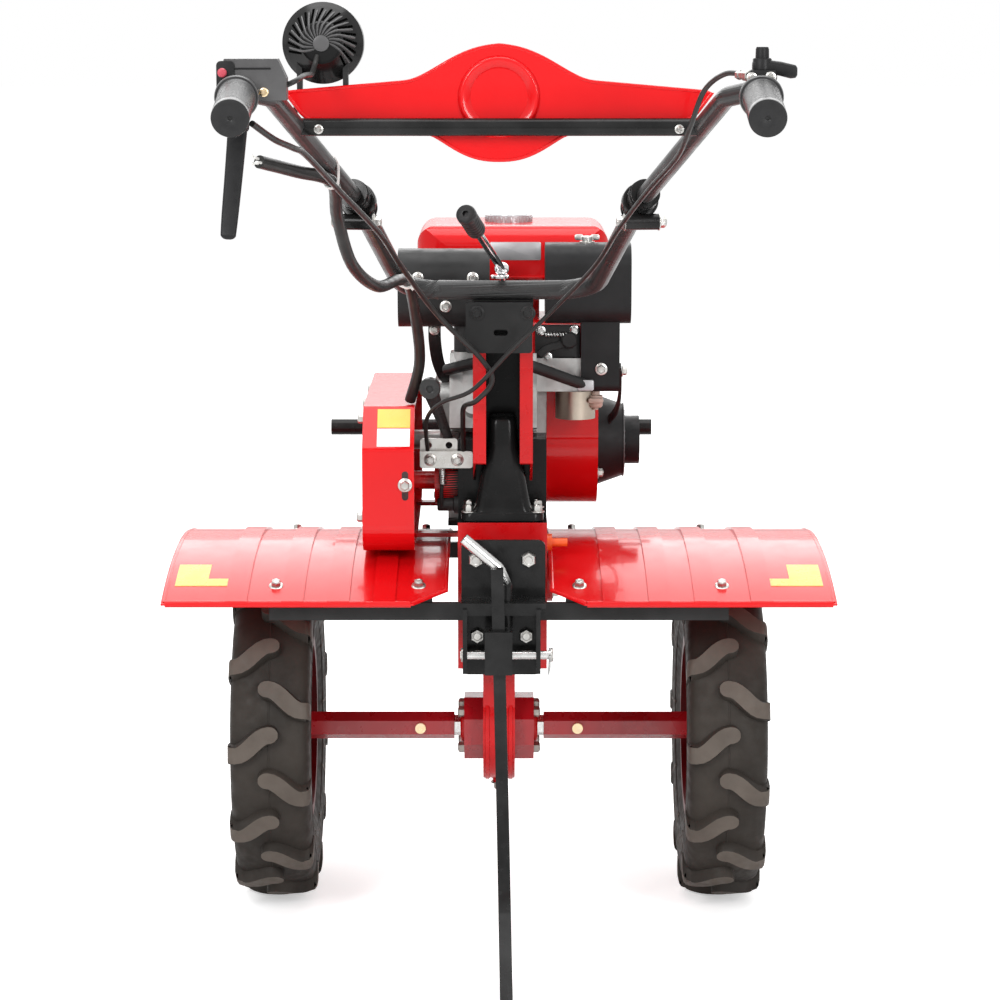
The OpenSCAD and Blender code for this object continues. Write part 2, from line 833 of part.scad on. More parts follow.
module panel_outline() {
    steps = 48;
    xs = [for (i = [0:steps]) panel_half_w * (2 * i / steps - 1)];
    polygon(concat(
        [for (x = xs) [x, panel_mid_z + panel_top(x)]],
        [for (i = [steps:-1:0]) [xs[i] * 0.93, panel_mid_z - panel_low(xs[i])]]
    ));
}

module dash_panel() {
    dome_r = 27;
    dome_rise = 5;
    color(red) place() {
        along_y(panel_y, panel_y + panel_t) panel_outline();
        translate([0, panel_y + panel_t, panel_mid_z + 5]) rotate([-90, 0, 0])
            cylinder(r1 = dome_r, r2 = dome_r - 4, h = dome_rise);
    }
}

// Headlamp

module headlamp() {
    back = 28;
    rim = 6;
    slope = atan2(back - rim, lamp_r / 2 - 4);
    color(black) place() translate(lamp_at) rotate([-90, 0, 0]) difference() {
        rotate_extrude() {
            plain([0, -back - 2], [lamp_r * 0.45, lamp_r / 2]);
            polygon([
                [0, -back - 2], [lamp_r * 0.5, -back], [lamp_r - 4, -rim], [lamp_r, 0],
                [lamp_r, lamp_front], [0, lamp_front]
            ]);
        }
        translate([0, 0, lamp_front - rim]) cylinder(r = lamp_r - 3, h = rim + 4);
        for (a = [150:15:390]) rotate([0, 0, a]) translate([lamp_r * 0.5, 0, -back])
            rotate([0, -slope, 0]) rotate([0, 0, fin_skew]) translate([3, -1.2, -3]) cube([22, 2.4, 10]);
    }
}

module headlamp_lens() {
    color(lens_clear) place() translate(lamp_at) rotate([-90, 0, 0]) translate([0, 0, lamp_front - 6])
        cylinder(r = lamp_r - 3 - seat_gap, h = 5);
}

module headlamp_bracket() {
    foot_z = panel_mid_z - 4;
    leg = 5;
    front = panel_y + panel_t;
    color(black) place() difference() {
        union() {
            for (x = [lamp_at[0] - 22, lamp_at[0] + 22]) {
                along_x(x - leg / 2, x + leg / 2) plain([front, foot_z], [front + 14, lamp_at[2]]);
            }
            along_y(front, front + 4) plain([lamp_at[0] - 28, foot_z - 6], [lamp_at[0] + 28, foot_z + 10]);
        }
        translate(lamp_at) rotate([-90, 0, 0]) rotate_extrude()
            polygon([
                [0, -31], [lamp_r * 0.5, -29], [lamp_r - 4, -6.5], [lamp_r + seat_gap, 0],
                [lamp_r + seat_gap, lamp_front + 1], [0, lamp_front + 1]
            ]);
    }
}

// Small controls at the grips

function grip_run() = unit(handle_corner_2 - handle_end);
function grip_front(side, ahead) =
    let (p = handle_end + grip_run() * (grip_len - 22 + ahead))
    [side * p[0], p[1], p[2]];

module control_ring(side, ahead, len, d) {
    run = grip_run();
    from = handle_end + run * (grip_len - 22 + ahead);
    mirror([side > 0 ? 0 : 1, 0, 0]) difference() {
        rod(from, from + run * len, d);
        rod(from - run, from + run * (len + 1), handle_tube_d + 2 * seat_gap);
    }
}

module clutch_lever() {
    top = grip_front(-1, 8) + [0, 6, -22];
    tip = flip_x(handle_end) + [-8, 50, -110];
    color(black) place() {
        control_ring(-1, 1, 12, handle_tube_d + 10);
        hull() {
            translate(top) cube([18, 8, 20], center = true);
            translate(top + [-2, -22, -30]) cube([18, 8, 10], center = true);
        }
        hull() {
            translate(top + [-2, -22, -30]) cube([18, 8, 10], center = true);
            translate(tip) cube([13, 7, 8], center = true);
        }
    }
}

module throttle_lever() {
    top = grip_front(1, 6) + [0, 0, 15];
    color(black) place() {
        control_ring(1, 1, 12, handle_tube_d + 10);
        translate(top + [-10, -6, -2]) cube([24, 14, 10]);
        hull() {
            translate(top + [-8, -4, 8]) cube([20, 12, 6]);
            translate(top + [20, -8, 3]) cube([12, 14, 8]);
        }
        translate(top + [1, 3, 8]) cylinder(d = 17, h = 20);
    }
}

module switch_box() {
    at = grip_front(-1, 14);
    color(black) place() difference() {
        hull() {
            translate(at + [-18, 0, -6]) cube([62, 24, 20]);
            translate(at + [-12, 0, 14]) cube([48, 24, 17]);
        }
        mirror([1, 0, 0]) rod(handle_corner_2 + grip_run() * 60, handle_end, handle_tube_d + 2 * seat_gap);
        mirror([1, 0, 0]) rod(handle_corner_1, handle_corner_2, handle_tube_d + 2 * seat_gap);
        mirror([1, 0, 0]) translate(handle_corner_2) sphere(d = handle_tube_d + 6);
    }
}

// Gear levers

module gear_lever() {
    bend_r = 30;
    color(steel) place() bent_rod([gear_foot, gear_corner, gear_eye, gear_rod_end], gear_rod_d, bend_r);
}

module gear_knob() {
    run = unit(gear_tip - gear_eye);
    from = gear_eye + (gear_tip - gear_eye) * 0.70;
    color(black) place() difference() {
        rod(from, gear_tip, gear_knob_d);
        rod(from - run, gear_rod_end + run * seat_gap, gear_rod_d + 2 * seat_gap);
    }
}

module range_lever() {
    pivot = [gearbox_lo - 8, -38, gearbox_top_z - 13];
    eye = [-80, -100, 630];
    color(black) place() {
        x_rod(gearbox_lo - 16, gearbox_lo, pivot[1], pivot[2], 9);
        rod(pivot, eye, 11);
        y_rod(eye[1] - 7, eye[1] + 7, eye[0], eye[2], 12);
    }
}

// A folded plate with two holes for the cables' ends
module cable_bracket() {
    lo = -93;
    t = 4;
    low_z = 531;
    fold_z = 551;
    back_y = gearbox_step_y + 4;
    color(zinc) place() {
        along_y(gearbox_step_y - t, gearbox_step_y) rounded([lo, low_z], [post_lo - 1, fold_z], 3);
        along_z(fold_z - t, fold_z) plain([lo, gearbox_step_y - t], [gearbox_lo - 1, back_y + t]);
        along_y(back_y, back_y + t) difference() {
            rounded([lo, fold_z - t], [gearbox_lo - 1, fold_z + 14], 3);
            for (x = [lo + 10, lo + 34]) translate([x, fold_z + 6]) circle(r = 4);
        }
    }
}

// A bent tube between the cylinder and the air cleaner, in front of the gear lever
module engine_stay() {
    color(black) place()
        bent_rod(concat([stay_start], stay_bends, [stay_end]), stay_d, 12, 16);
}

// Fenders

module fender_sheet(lift, t) {
    difference() {
        translate([0, fender_crest_z - fender_r]) circle(r = fender_r + lift, $fn = 180);
        translate([0, fender_crest_z - fender_r]) circle(r = fender_r + lift - t, $fn = 180);
    }
}

module fender(side) {
    rib_w = 25;
    rib_rise = 3;
    cut_y = 34;
    cut_x = 40;
    outer = fender_span / 2;
    color(red) place() mirror([side > 0 ? 0 : 1, 0, 0]) difference() {
        intersection() {
            union() {
                along_x(fender_inner, outer) fender_sheet(0, fender_t);
                for (x = [130, 182, 234, 298])
                    along_x(x - rib_w / 2, x + rib_w / 2) fender_sheet(rib_rise, fender_t + rib_rise);
            }
            translate([0, -fender_half_y, fender_crest_z - 80]) cube([outer, 2 * fender_half_y, 100]);
        }
        along_z(fender_crest_z - 90, fender_crest_z + 20) for (s = [-1, 1])
            polygon([
                [fender_inner - 1, s * (fender_half_y - cut_y)],
                [fender_inner + cut_x, s * (fender_half_y + 1)],
                [fender_inner - 1, s * (fender_half_y + 1)]
            ]);
    }
}

module fender_left() { fender(-1); }
module fender_right() { fender(1); }

module fender_supports() {
    under = fender_crest_z - fender_t - support_y * support_y / (2 * fender_r);
    color(black) place() {
        for (y = [-support_y, support_y])
            along_y(y - support_t / 2, y + support_t / 2)
                plain([-support_reach, support_z], [support_reach, shelf_z]);
        for (x = support_tabs, y = [-support_y, support_y]) {
            along_y(y - 1.5, y + 1.5) plain([x, shelf_z], [x + support_tab_w, under - 1]);
        }
    }
}

// Hitch

module hitch_bracket() {
    color(black) place() difference() {
        union() {
            along_y(hitch_rear_y, hitch_rear_y + 6) rounded([hitch_lo, shelf_z], [hitch_hi, hitch_z], 8);
            along_y(hitch_rear_y, gearbox_rear_y) {
                plain([hitch_lo, shelf_z + shelf_t], [hitch_lo + 6, hitch_z - 16]);
                plain([hitch_hi - 6, shelf_z + shelf_t], [hitch_hi, hitch_z - 16]);
            }
            along_z(shelf_z, shelf_z + shelf_t) plain([hitch_lo, shelf_rear_y], [hitch_hi, gearbox_rear_y]);
        }
        drop_pin_hole(shelf_z - 1, shelf_z + shelf_t + 1);
    }
}

module drop_pin_hole(from, to) {
    along_z(from, to) translate(drop_pin_at) circle(d = drop_pin_d + 1 + 2 * seat_gap);
}

module hitch_yoke() {
    front = -support_y - support_t / 2;
    color(black) place() difference() {
        union() {
            along_y(front - 6, front) rounded([yoke_lo, yoke_low_z], [yoke_hi, shelf_z], 6);
            along_y(yoke_rear_y, front) {
                plain([yoke_lo, yoke_low_z + 8], [yoke_lo + yoke_t, shelf_z]);
                plain([yoke_hi - yoke_t, yoke_low_z + 8], [yoke_hi, shelf_z]);
            }
            along_y(shelf_rear_y, front) plain([yoke_lo, shelf_z - 8], [yoke_hi, shelf_z]);
        }
        drop_pin_hole(yoke_low_z - 14, shelf_z + 1);
        x_rod(yoke_lo - 1, yoke_hi + 1, cross_pin_y, cross_pin_z, cross_pin_r + seat_gap);
    }
}

module hitch_pin() {
    x = drop_pin_at[0];
    y = drop_pin_at[1];
    bend = [x, y, hitch_z - 46];
    color(steel) place() {
        bent_rod([bend + [-49, 0, 54], bend + [-9, 0, 20], bend, [x, y, shelf_z - 24]], drop_pin_d, 10);
        x_rod(yoke_lo - 3, yoke_hi + 15, cross_pin_y, cross_pin_z, cross_pin_r);
    }
}

// The drag bar leans a little to the right in its sleeve
module leaning() {
    translate([0, 0, sleeve_mid_z]) rotate([0, -drag_lean, 0]) translate([0, 0, -sleeve_mid_z]) children();
}

module drag_bar_sleeve() {
    hole = drag_bar_w + 2 * seat_gap;
    color(black) place() difference() {
        union() {
            along_z(sleeve_lo, sleeve_hi) plain([-16, -274], [15, -240]);
            along_z(sleeve_lo, sleeve_hi - 16) plain([-14, -241], [14, -212]);
        }
        leaning() along_z(sleeve_lo - 2, sleeve_hi + 2)
            plain([-hole / 2, drag_y - hole / 2], [hole / 2, drag_y + hole / 2]);
        x_rod(-30, 30, cross_pin_y, cross_pin_z, cross_pin_r + seat_gap);
    }
}

module drag_bar() {
    half = drag_bar_w / 2;
    centre = [drag_y - drag_bend_r, drag_bend_z];
    low = centre + drag_bend_r * [cos(drag_turn), -sin(drag_turn)];
    color(black) place() difference() {
        leaning() along_x(-half, half) {
            plain([drag_y - half, drag_bend_z], [drag_y + half, drag_top_z]);
            intersection() {
                translate(centre) difference() {
                    circle(r = drag_bend_r + half, $fn = 180);
                    circle(r = drag_bend_r - half, $fn = 180);
                }
                translate(centre)
                    polygon(2 * drag_bend_r * [[0, 0], [1, 0], [1, -tan(drag_turn)]]);
            }
            translate(low) rotate(-90 - drag_turn)
                translate([-0.5, -half]) square([2 * low[1] + 40, drag_bar_w]);
        }
        translate(drag_reach * [-1, -2, -1]) cube(drag_reach * [2, 2, 1]);
    }
}

// Belt drive

// The guard seen from the side: round below, a slope at the upper rear, a flat top
module guard_outline(inset) {
    low_r = 34;
    high_r = 8;
    hull() {
        for (p = [
            [guard_rear_y + low_r, guard_low_z + low_r], [42, guard_low_z + low_r],
            [guard_front_y - low_r, guard_low_z + low_r + 10]
        ]) translate(p) circle(r = low_r - inset);
        for (p = [
            [guard_rear_y + high_r, guard_top_z - guard_slope],
            [guard_rear_y + guard_slope, guard_top_z - high_r],
            [guard_front_y - high_r, guard_top_z - high_r]
        ]) translate(p) circle(r = high_r - inset);
    }
}

module belt_guard() {
    tab = 18;
    tab_t = 5;
    color(red) place() {
        difference() {
            along_x(guard_x, guard_x + guard_w) guard_outline(0);
            along_x(guard_x + guard_t, guard_x + guard_w + 1) guard_outline(guard_t);
        }
        along_z(guard_low_z, guard_low_z + tab_t)
            plain([guard_x + guard_w - tab_t, -18], [gearbox_lo, tab - 18]);
        along_z(guard_low_z + 8, guard_low_z + 8 + tab_t)
            plain([guard_x + guard_w - tab_t, 166], [engine_lo, 166 + tab]);
    }
}

module pulley(d, bore_r) {
    w = 40;
    translate([-w / 2, 0, 0]) difference() {
        rotate([0, 90, 0]) rotate_extrude() difference() {
            plain([bore_r + seat_gap, 0], [d / 2, w]);
            for (a = [w * 0.28, w * 0.72]) {
                polygon([
                    [d / 2 + 1, a - 7.5], [d / 2 + 1, a + 7.5],
                    [d / 2 - groove_depth, a + 4], [d / 2 - groove_depth, a - 4]
                ]);
            }
        }
        x_rod(-1, w * 0.3, 0, 0, d / 2 - groove_depth - 10);
        x_rod(w * 0.7, w + 1, 0, 0, d / 2 - groove_depth - 10);
    }
    difference() {
        x_rod(-w / 2, w / 2, 0, 0, bore_r + 9);
        x_rod(-w, w, 0, 0, bore_r + seat_gap);
    }
}

module engine_pulley() {
    color(steel) place() translate([pulley_x, engine_y, engine_z]) pulley(engine_pulley_d, crank_r);
}

module gearbox_pulley() {
    color(steel) place() translate([pulley_x, input_y, input_z]) pulley(gearbox_pulley_d, input_shaft_r);
}

module belt_loop(grow) {
    hull() {
        translate([engine_y, engine_z]) circle(r = engine_pulley_d / 2 - groove_depth + seat_gap + grow);
        translate([input_y, input_z]) circle(r = gearbox_pulley_d / 2 - groove_depth + seat_gap + grow);
    }
}

module v_belts() {
    color(black) place() for (x = [-8.8, 8.8]) {
        along_x(pulley_x + x - 3.5, pulley_x + x + 3.5) difference() {
            belt_loop(belt_t);
            belt_loop(0);
        }
    }
}

// Engine

module crankcase() {
    color(steel) place() {
        along_x(engine_lo, engine_hi)
            rounded([crank_rear_y, engine_base_z + 10], [crank_front_y, head_top_z], 24);
        along_x(engine_lo + 10, engine_hi - 10)
            plain([crank_rear_y - 8, engine_base_z], [crank_front_y + 8, engine_base_z + 16]);
        x_rod(guard_x + 8, engine_lo, engine_y, engine_z, crank_r);
    }
}

// The cylinder leans back from the crankcase; fins stand round its core
module cylinder_head() {
    tilt = 22;
    fin_w = 104;
    fin_h = 92;
    core_w = 76;
    core_h = 68;
    head_len = 84;
    pitch = 12;
    slot = 7;
    cover_len = 20;
    buried = 40;
    color(steel) place() difference() {
        translate([-7, crank_rear_y, 584]) rotate([-tilt, 0, 0]) {
            along_y(-head_len, buried) plain([-fin_w / 2, -fin_h / 2], [fin_w / 2, fin_h / 2]);
            along_y(-head_len - cover_len, -head_len) rounded([-36, -34], [36, 34], 12);
        }
        translate([-7, crank_rear_y, 584]) rotate([-tilt, 0, 0]) for (i = [0:5]) {
            along_y(pitch * i - head_len + 6, pitch * i - head_len + 6 + slot) difference() {
                plain([-fin_w, -fin_h], [fin_w, fin_h]);
                plain([-core_w / 2, -core_h / 2], [core_w / 2, core_h / 2]);
            }
        }
        translate([-200, crank_rear_y, 400]) cube([400, 200, 400]);
    }
    color(steel) place() along_z(exhaust_z - 40, exhaust_z) translate(exhaust_at) circle(r = exhaust_r + 4);
}

module blower_outline(inset) {
    translate([engine_y, engine_z]) circle(r = blower_r - inset, $fn = 72);
    half = blower_r - inset;
    rounded([engine_y - half, engine_z], [engine_y + half, blower_top_z - inset], 16 - inset);
}

module blower_housing() {
    color(red) place() {
        difference() {
            along_x(engine_hi, blower_hi) blower_outline(0);
            along_x(engine_hi - 1, blower_hi - blower_t) blower_outline(blower_t);
        }
        difference() {
            along_x(-30, engine_hi + blower_t)
                rounded([shroud_lo_y, head_top_z], [shroud_hi_y, blower_top_z], 12);
            along_x(-40, engine_hi + blower_t + 1)
                plain([shroud_lo_y + blower_t, head_top_z - 22],
                    [shroud_hi_y - blower_t, blower_top_z - blower_t]);
        }
    }
}

module recoil_starter() {
    wall = 4;
    depth = 34;
    taper = 12;
    hub_r = 30;
    hub_h = 19;
    color(black) place() translate([blower_hi, engine_y, engine_z]) rotate([0, 90, 0]) difference() {
        union() {
            cylinder(d1 = recoil_d, d2 = recoil_d - 2 * taper, h = depth);
            translate([0, 0, depth]) cylinder(r = hub_r, h = hub_h);
        }
        translate([0, 0, -1]) cylinder(d = recoil_d - 2 * taper - 2 * wall, h = depth + 1 - wall);
    }
}

// The tank's rounded box, drawn in from all sides by the inset
module tank_form(inset) {
    r = tank_r - inset;
    lo = [tank_mid_x - tank_len / 2, tank_y - tank_w / 2, tank_top_z - tank_h] + inset * [1, 1, 1];
    hi = [tank_mid_x + tank_len / 2, tank_y + tank_w / 2, tank_top_z] - inset * [1, 1, 1];
    intersection() {
        along_y(lo[1], hi[1]) rounded([lo[0], lo[2]], [hi[0], hi[2]], r);
        along_x(lo[0] - 1, hi[0] + 1) rounded([lo[1], lo[2]], [hi[1], hi[2]], r);
        along_z(lo[2] - 1, hi[2] + 1) rounded([lo[0], lo[1]], [hi[0], hi[1]], 1.5 * r);
    }
}

module fuel_tank() {
    post_w = 10;
    post_d = 40;
    color(red) place() {
        difference() {
            tank_form(0);
            tank_form(tank_wall);
            translate([cap_x, tank_y, tank_top_z - 2 * tank_wall])
                cylinder(d = cap_d - 14, h = 3 * tank_wall);
        }
        for (x = [-20, 40]) along_z(blower_top_z, tank_top_z - tank_h + tank_wall / 2)
            plain([x, tank_y - post_d / 2], [x + post_w, tank_y + post_d / 2]);
    }
}

module fuel_cap() {
    color(steel) place() translate([cap_x, tank_y, tank_top_z]) cylinder(d = cap_d, h = 8);
}

module air_cleaner() {
    t = shell_t * [1, 1, 1];
    color(black) place() difference() {
        union() {
            cleaner_box(cleaner_lo, cleaner_hi, 26);
            cleaner_box(column_lo, column_hi, 10);
        }
        cleaner_box(cleaner_lo + t, cleaner_hi - t, 22);
        cleaner_box(column_lo + t, column_hi - t + [0, 0, 8], 8);
        x_rod(column_lo[0] - 8, column_lo[0] + shell_t + 1, bowl_at[1], inlet_z, inlet_r);
    }
}

// A box between two corners, rounded along X
module cleaner_box(lo, hi, r) {
    along_x(lo[0], hi[0]) rounded([lo[1], lo[2]], [hi[1], hi[2]], r);
}

module muffler() {
    t = shell_t * [1, 1, 1];
    color(black) place() {
        difference() {
            cleaner_box(muffler_lo, muffler_hi, 32);
            cleaner_box(muffler_lo + t, muffler_hi - t, 28);
            along_z(muffler_lo[2] - 4, muffler_lo[2] + 8)
                translate(exhaust_at) circle(r = exhaust_r - shell_t);
        }
        translate(exhaust_at) difference() {
            along_z(exhaust_z, muffler_lo[2] + 1) circle(r = exhaust_r);
            along_z(exhaust_z - 1, muffler_lo[2] + 2) circle(r = exhaust_r - shell_t);
        }
    }
}

module carburettor() {
    color(steel) place() {
        translate([bowl_at[0], bowl_at[1], carb_lo[2] - bowl_h]) cylinder(r = bowl_r, h = bowl_h);
        along_x(carb_lo[0], carb_hi[0]) plain([carb_lo[1], carb_lo[2]], [carb_hi[1], carb_hi[2]]);
    }
}

module engine_frame() {
    lo = gearbox_lo + 4;
    hi = gearbox_hi - 4;
    t = 6;
    color(black) place() {
        along_z(engine_base_z - t, engine_base_z) plain([-62, gearbox_front_y], [56, frame_front_y]);
        along_y(gearbox_front_y, gearbox_front_y + t) plain([lo, shelf_z], [hi, engine_base_z]);
        for (x = [lo, hi - t]) along_x(x, x + t) polygon([
            [gearbox_front_y, shelf_z], [support_y + 20, shelf_z],
            [frame_front_y, engine_base_z - t], [gearbox_front_y, engine_base_z - t]
        ]);
    }
}

module front_bumper() {
    color(black) place() {
        x_rod(bumper_mid_x - bumper_half, bumper_mid_x + bumper_half, bumper_y, bumper_z, bumper_d / 2);
        for (x = bumper_legs_x) along_x(x, x + bumper_leg_t) {
            polygon([
                [frame_front_y - bumper_leg_foot, engine_base_z], [frame_front_y, engine_base_z],
                [bumper_y + 4, bumper_z], [bumper_y - 8, bumper_z]
            ]);
            translate([bumper_y, bumper_z]) circle(bumper_eye_r);
        }
    }
}

// Held cables

module wiring_conduit() {
    color(black) place() cable(conduit_route, 13);
}

module clutch_cable() {
    color(black) place() cable(clutch_route, 6);
}

module throttle_cable() {
    color(black) place() cable(throttle_route, 5);
}

tyre_left();
tyre_right();
rim_left();
rim_right();
axle_tube_left();
axle_tube_right();
drive_shaft();
axle_pins();
final_drive_case();
bearing_covers();
main_gearbox();
oil_plug();
shift_tower();
handle_post();
handle_bracket();
handle_base();
handle_clamps();
handle_left();
handle_right();
crossbar();
grip_left();
grip_right();
dash_panel();
headlamp();
headlamp_lens();
headlamp_bracket();
clutch_lever();
throttle_lever();
switch_box();
gear_lever();
gear_knob();
range_lever();
cable_bracket();
engine_stay();
fender_left();
fender_right();
fender_supports();
hitch_bracket();
hitch_yoke();
hitch_pin();
drag_bar_sleeve();
drag_bar();
belt_guard();
engine_pulley();
gearbox_pulley();
v_belts();
crankcase();
cylinder_head();
blower_housing();
recoil_starter();
fuel_tank();
fuel_cap();
air_cleaner();
muffler();
carburettor();
engine_frame();
front_bumper();
wiring_conduit();
clutch_cable();
throttle_cable();
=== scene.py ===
"""Dresses a packed two-wheel walking tractor: finishes, tyres, fittings, cables and a studio stage.

Points and sizes are in millimetres: x to the right, y from the axle to the front and z up from the ground.
"""

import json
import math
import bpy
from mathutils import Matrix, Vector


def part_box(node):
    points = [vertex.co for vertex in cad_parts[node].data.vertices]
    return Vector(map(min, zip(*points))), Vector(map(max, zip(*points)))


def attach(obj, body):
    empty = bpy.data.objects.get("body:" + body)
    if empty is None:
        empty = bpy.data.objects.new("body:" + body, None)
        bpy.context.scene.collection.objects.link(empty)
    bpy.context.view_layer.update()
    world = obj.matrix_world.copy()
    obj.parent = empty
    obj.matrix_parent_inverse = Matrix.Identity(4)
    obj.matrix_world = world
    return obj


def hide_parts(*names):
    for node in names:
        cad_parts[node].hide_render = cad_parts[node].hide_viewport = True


bl_info = {
    "name": "Walking tractor dressing",
    "version": (1, 0, 0),
    "blender": (4, 5, 0),
    "location": "3D View > Sidebar > Tractor",
    "description": "Finishes, fittings and a studio stage around a packed two-wheel tractor",
    "category": "Object",
}

import bmesh
import bpy
from mathutils import Matrix, Vector

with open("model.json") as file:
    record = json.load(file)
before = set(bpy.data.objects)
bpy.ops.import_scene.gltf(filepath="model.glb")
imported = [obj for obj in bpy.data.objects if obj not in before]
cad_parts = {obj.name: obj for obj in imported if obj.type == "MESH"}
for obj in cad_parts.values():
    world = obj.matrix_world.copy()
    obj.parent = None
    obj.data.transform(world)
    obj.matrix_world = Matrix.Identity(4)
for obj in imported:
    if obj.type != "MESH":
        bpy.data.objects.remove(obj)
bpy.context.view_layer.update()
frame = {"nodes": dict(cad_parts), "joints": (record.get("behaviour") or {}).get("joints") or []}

MM = 0.001
AXLE = Vector(frame["joints"][0]["pos_m"])
AXLE_Z = round(AXLE.z / MM, 3)
INTO_FRAME = Matrix.Translation((0, AXLE.y, 0)) @ Matrix.Scale(MM, 4)
CHASSIS = "chassis"
WHEELS = "wheelset"
SIDES = (-1, 1)
X_AXIS = Vector((1, 0, 0))
Y_AXIS = Vector((0, 1, 0))
Z_AXIS = Vector((0, 0, 1))
SMOOTH_ANGLE = math.radians(38)


def at(x, y, z):
    """A point in millimetres."""
    return Vector((x, y, z))


def angles(count, first=0):
    """Evenly spaced angles round a circle, from a first one in degrees."""
    return [math.radians(first) + 2 * math.pi * k / count for k in range(count)]


class FinishSettings(bpy.types.PropertyGroup):
    """Colours of the tractor's finishes."""

    red: bpy.props.FloatVectorProperty(
        name="Body red", description="Gloss paint of the sheet metal and castings",
        subtype="COLOR", size=3, default=(0.62, 0.004, 0.006))
    dark_red: bpy.props.FloatVectorProperty(
        name="Axle red", description="Paint of the axle tubes and rims",
        subtype="COLOR", size=3, default=(0.33, 0.005, 0.010))
    black: bpy.props.FloatVectorProperty(
        name="Frame black", description="Gloss paint of the handlebar and the brackets",
        subtype="COLOR", size=3, default=(0.012, 0.012, 0.012))
    rubber: bpy.props.FloatVectorProperty(
        name="Tyre rubber", description="Moulded rubber of the tyres",
        subtype="COLOR", size=3, default=(0.022, 0.018, 0.015))


class TyreSettings(bpy.types.PropertyGroup):
    """Sizes of the lugged tyres."""

    lugs: bpy.props.IntProperty(
        name="Lugs a side", description="Number of lugs on each half of a tread", default=12, min=6, max=24)
    lug_height: bpy.props.FloatProperty(
        name="Lug height", description="Height of a lug above the tread",
        default=0.012, min=0.004, max=0.02, unit="LENGTH")
    lug_width: bpy.props.FloatProperty(
        name="Lug width", description="Width of a lug at its top",
        default=0.0215, min=0.008, max=0.03, unit="LENGTH")


class StageSettings(bpy.types.PropertyGroup):
    """Camera and light."""

    camera_back: bpy.props.FloatProperty(
        name="Camera distance", description="Distance of the camera behind the axle",
        default=3.6, min=1.0, unit="LENGTH")
    camera_height: bpy.props.FloatProperty(
        name="Camera height", description="Height of the camera above the ground",
        default=1.063, min=0.0, unit="LENGTH")
    camera_tilt: bpy.props.FloatProperty(
        name="Camera tilt", description="Angle of the camera below the horizon",
        default=math.radians(9.167), subtype="ANGLE")
    lens: bpy.props.FloatProperty(
        name="Lens", description="Focal length in millimetres on a 36 mm sensor", default=109.26, min=20.0)
    floor: bpy.props.FloatVectorProperty(
        name="Floor", description="Colour of the floor", subtype="COLOR", size=3, default=(0.92, 0.92, 0.92))


# Finishes

FINISHES = {}
GLOSS = {"specular": "Specular IOR Level", "coat": "Coat Weight", "coat_roughness": "Coat Roughness"}


class Surface:
    """A material under construction: one shader fed by noises in the machine's own coordinates."""

    def __init__(self, name, colour, roughness, metallic=0.0):
        self.material = bpy.data.materials.new(name)
        self.material.use_nodes = True
        self.tree = self.material.node_tree
        self.shader = self.tree.nodes["Principled BSDF"]
        self.colour = tuple(colour)
        self.set("Base Color", (*self.colour, 1.0))
        self.set("Roughness", roughness)
        self.set("Metallic", metallic)
        self.place = self.tree.nodes.new("ShaderNodeTexCoord")
        self.material.diffuse_color = (*self.colour, 1.0)
        FINISHES[name] = self.material

    def set(self, socket, value):
        """Gives a socket of the shader one value all over."""
        self.shader.inputs[socket].default_value = value
        return self

    def link(self, source, target):
        """Joins two sockets."""
        self.tree.links.new(source, target)

    def noise(self, scale, detail, stretch=(1, 1, 1)):
        """A noise of about 1/scale metres, drawn out along the axes by stretch."""
        mapping = self.tree.nodes.new("ShaderNodeMapping")
        mapping.inputs["Scale"].default_value = stretch
        self.link(self.place.outputs["Object"], mapping.inputs["Vector"])
        texture = self.tree.nodes.new("ShaderNodeTexNoise")
        texture.inputs["Scale"].default_value = scale
        texture.inputs["Detail"].default_value = detail
        self.link(mapping.outputs["Vector"], texture.inputs["Vector"])
        return texture.outputs["Fac"]

    def spread(self, factor, low, high, start=0.35, stop=0.65):
        """The factor drawn from a middle range onto low to high."""
        node = self.tree.nodes.new("ShaderNodeMapRange")
        for socket, value in zip(("From Min", "From Max", "To Min", "To Max"), (start, stop, low, high)):
            node.inputs[socket].default_value = value
        self.link(factor, node.inputs["Value"])
        return node.outputs["Result"]

    def mottle(self, other, scale, start=0.4, stop=0.7, detail=4.0):
        """Breaks the base colour with patches of another."""
        mix = self.tree.nodes.new("ShaderNodeMix")
        mix.data_type = "RGBA"
        mix.inputs["A"].default_value = (*self.colour, 1.0)
        mix.inputs["B"].default_value = (*other, 1.0)
        self.link(self.spread(self.noise(scale, detail), 0.0, 1.0, start, stop), mix.inputs["Factor"])
        self.link(mix.outputs["Result"], self.shader.inputs["Base Color"])
        return self

    def uneven(self, scale, low, high, stretch=(1, 1, 1), detail=3.0):
        """Lets the roughness wander between low and high."""
        self.link(self.spread(self.noise(scale, detail, stretch), low, high), self.shader.inputs["Roughness"])
        return self

    def grain(self, scale, depth, detail=2.0, stretch=(1, 1, 1)):
        """Adds a fine relief."""
        bump = self.tree.nodes.new("ShaderNodeBump")
        bump.inputs["Strength"].default_value = 1.0
        bump.inputs["Distance"].default_value = depth * MM
        self.link(self.noise(scale, detail, stretch), bump.inputs["Height"])
        self.link(bump.outputs["Normal"], self.shader.inputs["Normal"])
        return self


def shade(colour, share):
    """A colour at a share of its strength."""
    return tuple(min(1.0, c * share) for c in colour)


def finish(name, colour, patches, roughness, relief=None, metallic=0.0, **gloss):
    """A finish from patches (colour, scale), roughness (flat, scale, low, high) and relief (scale, depth)."""
    surface = Surface(name, colour, roughness[0], metallic)
    surface.mottle(*patches).uneven(*roughness[1:])
    if relief:
        surface.grain(*relief)
    for word, value in gloss.items():
        surface.set(GLOSS[word], value)


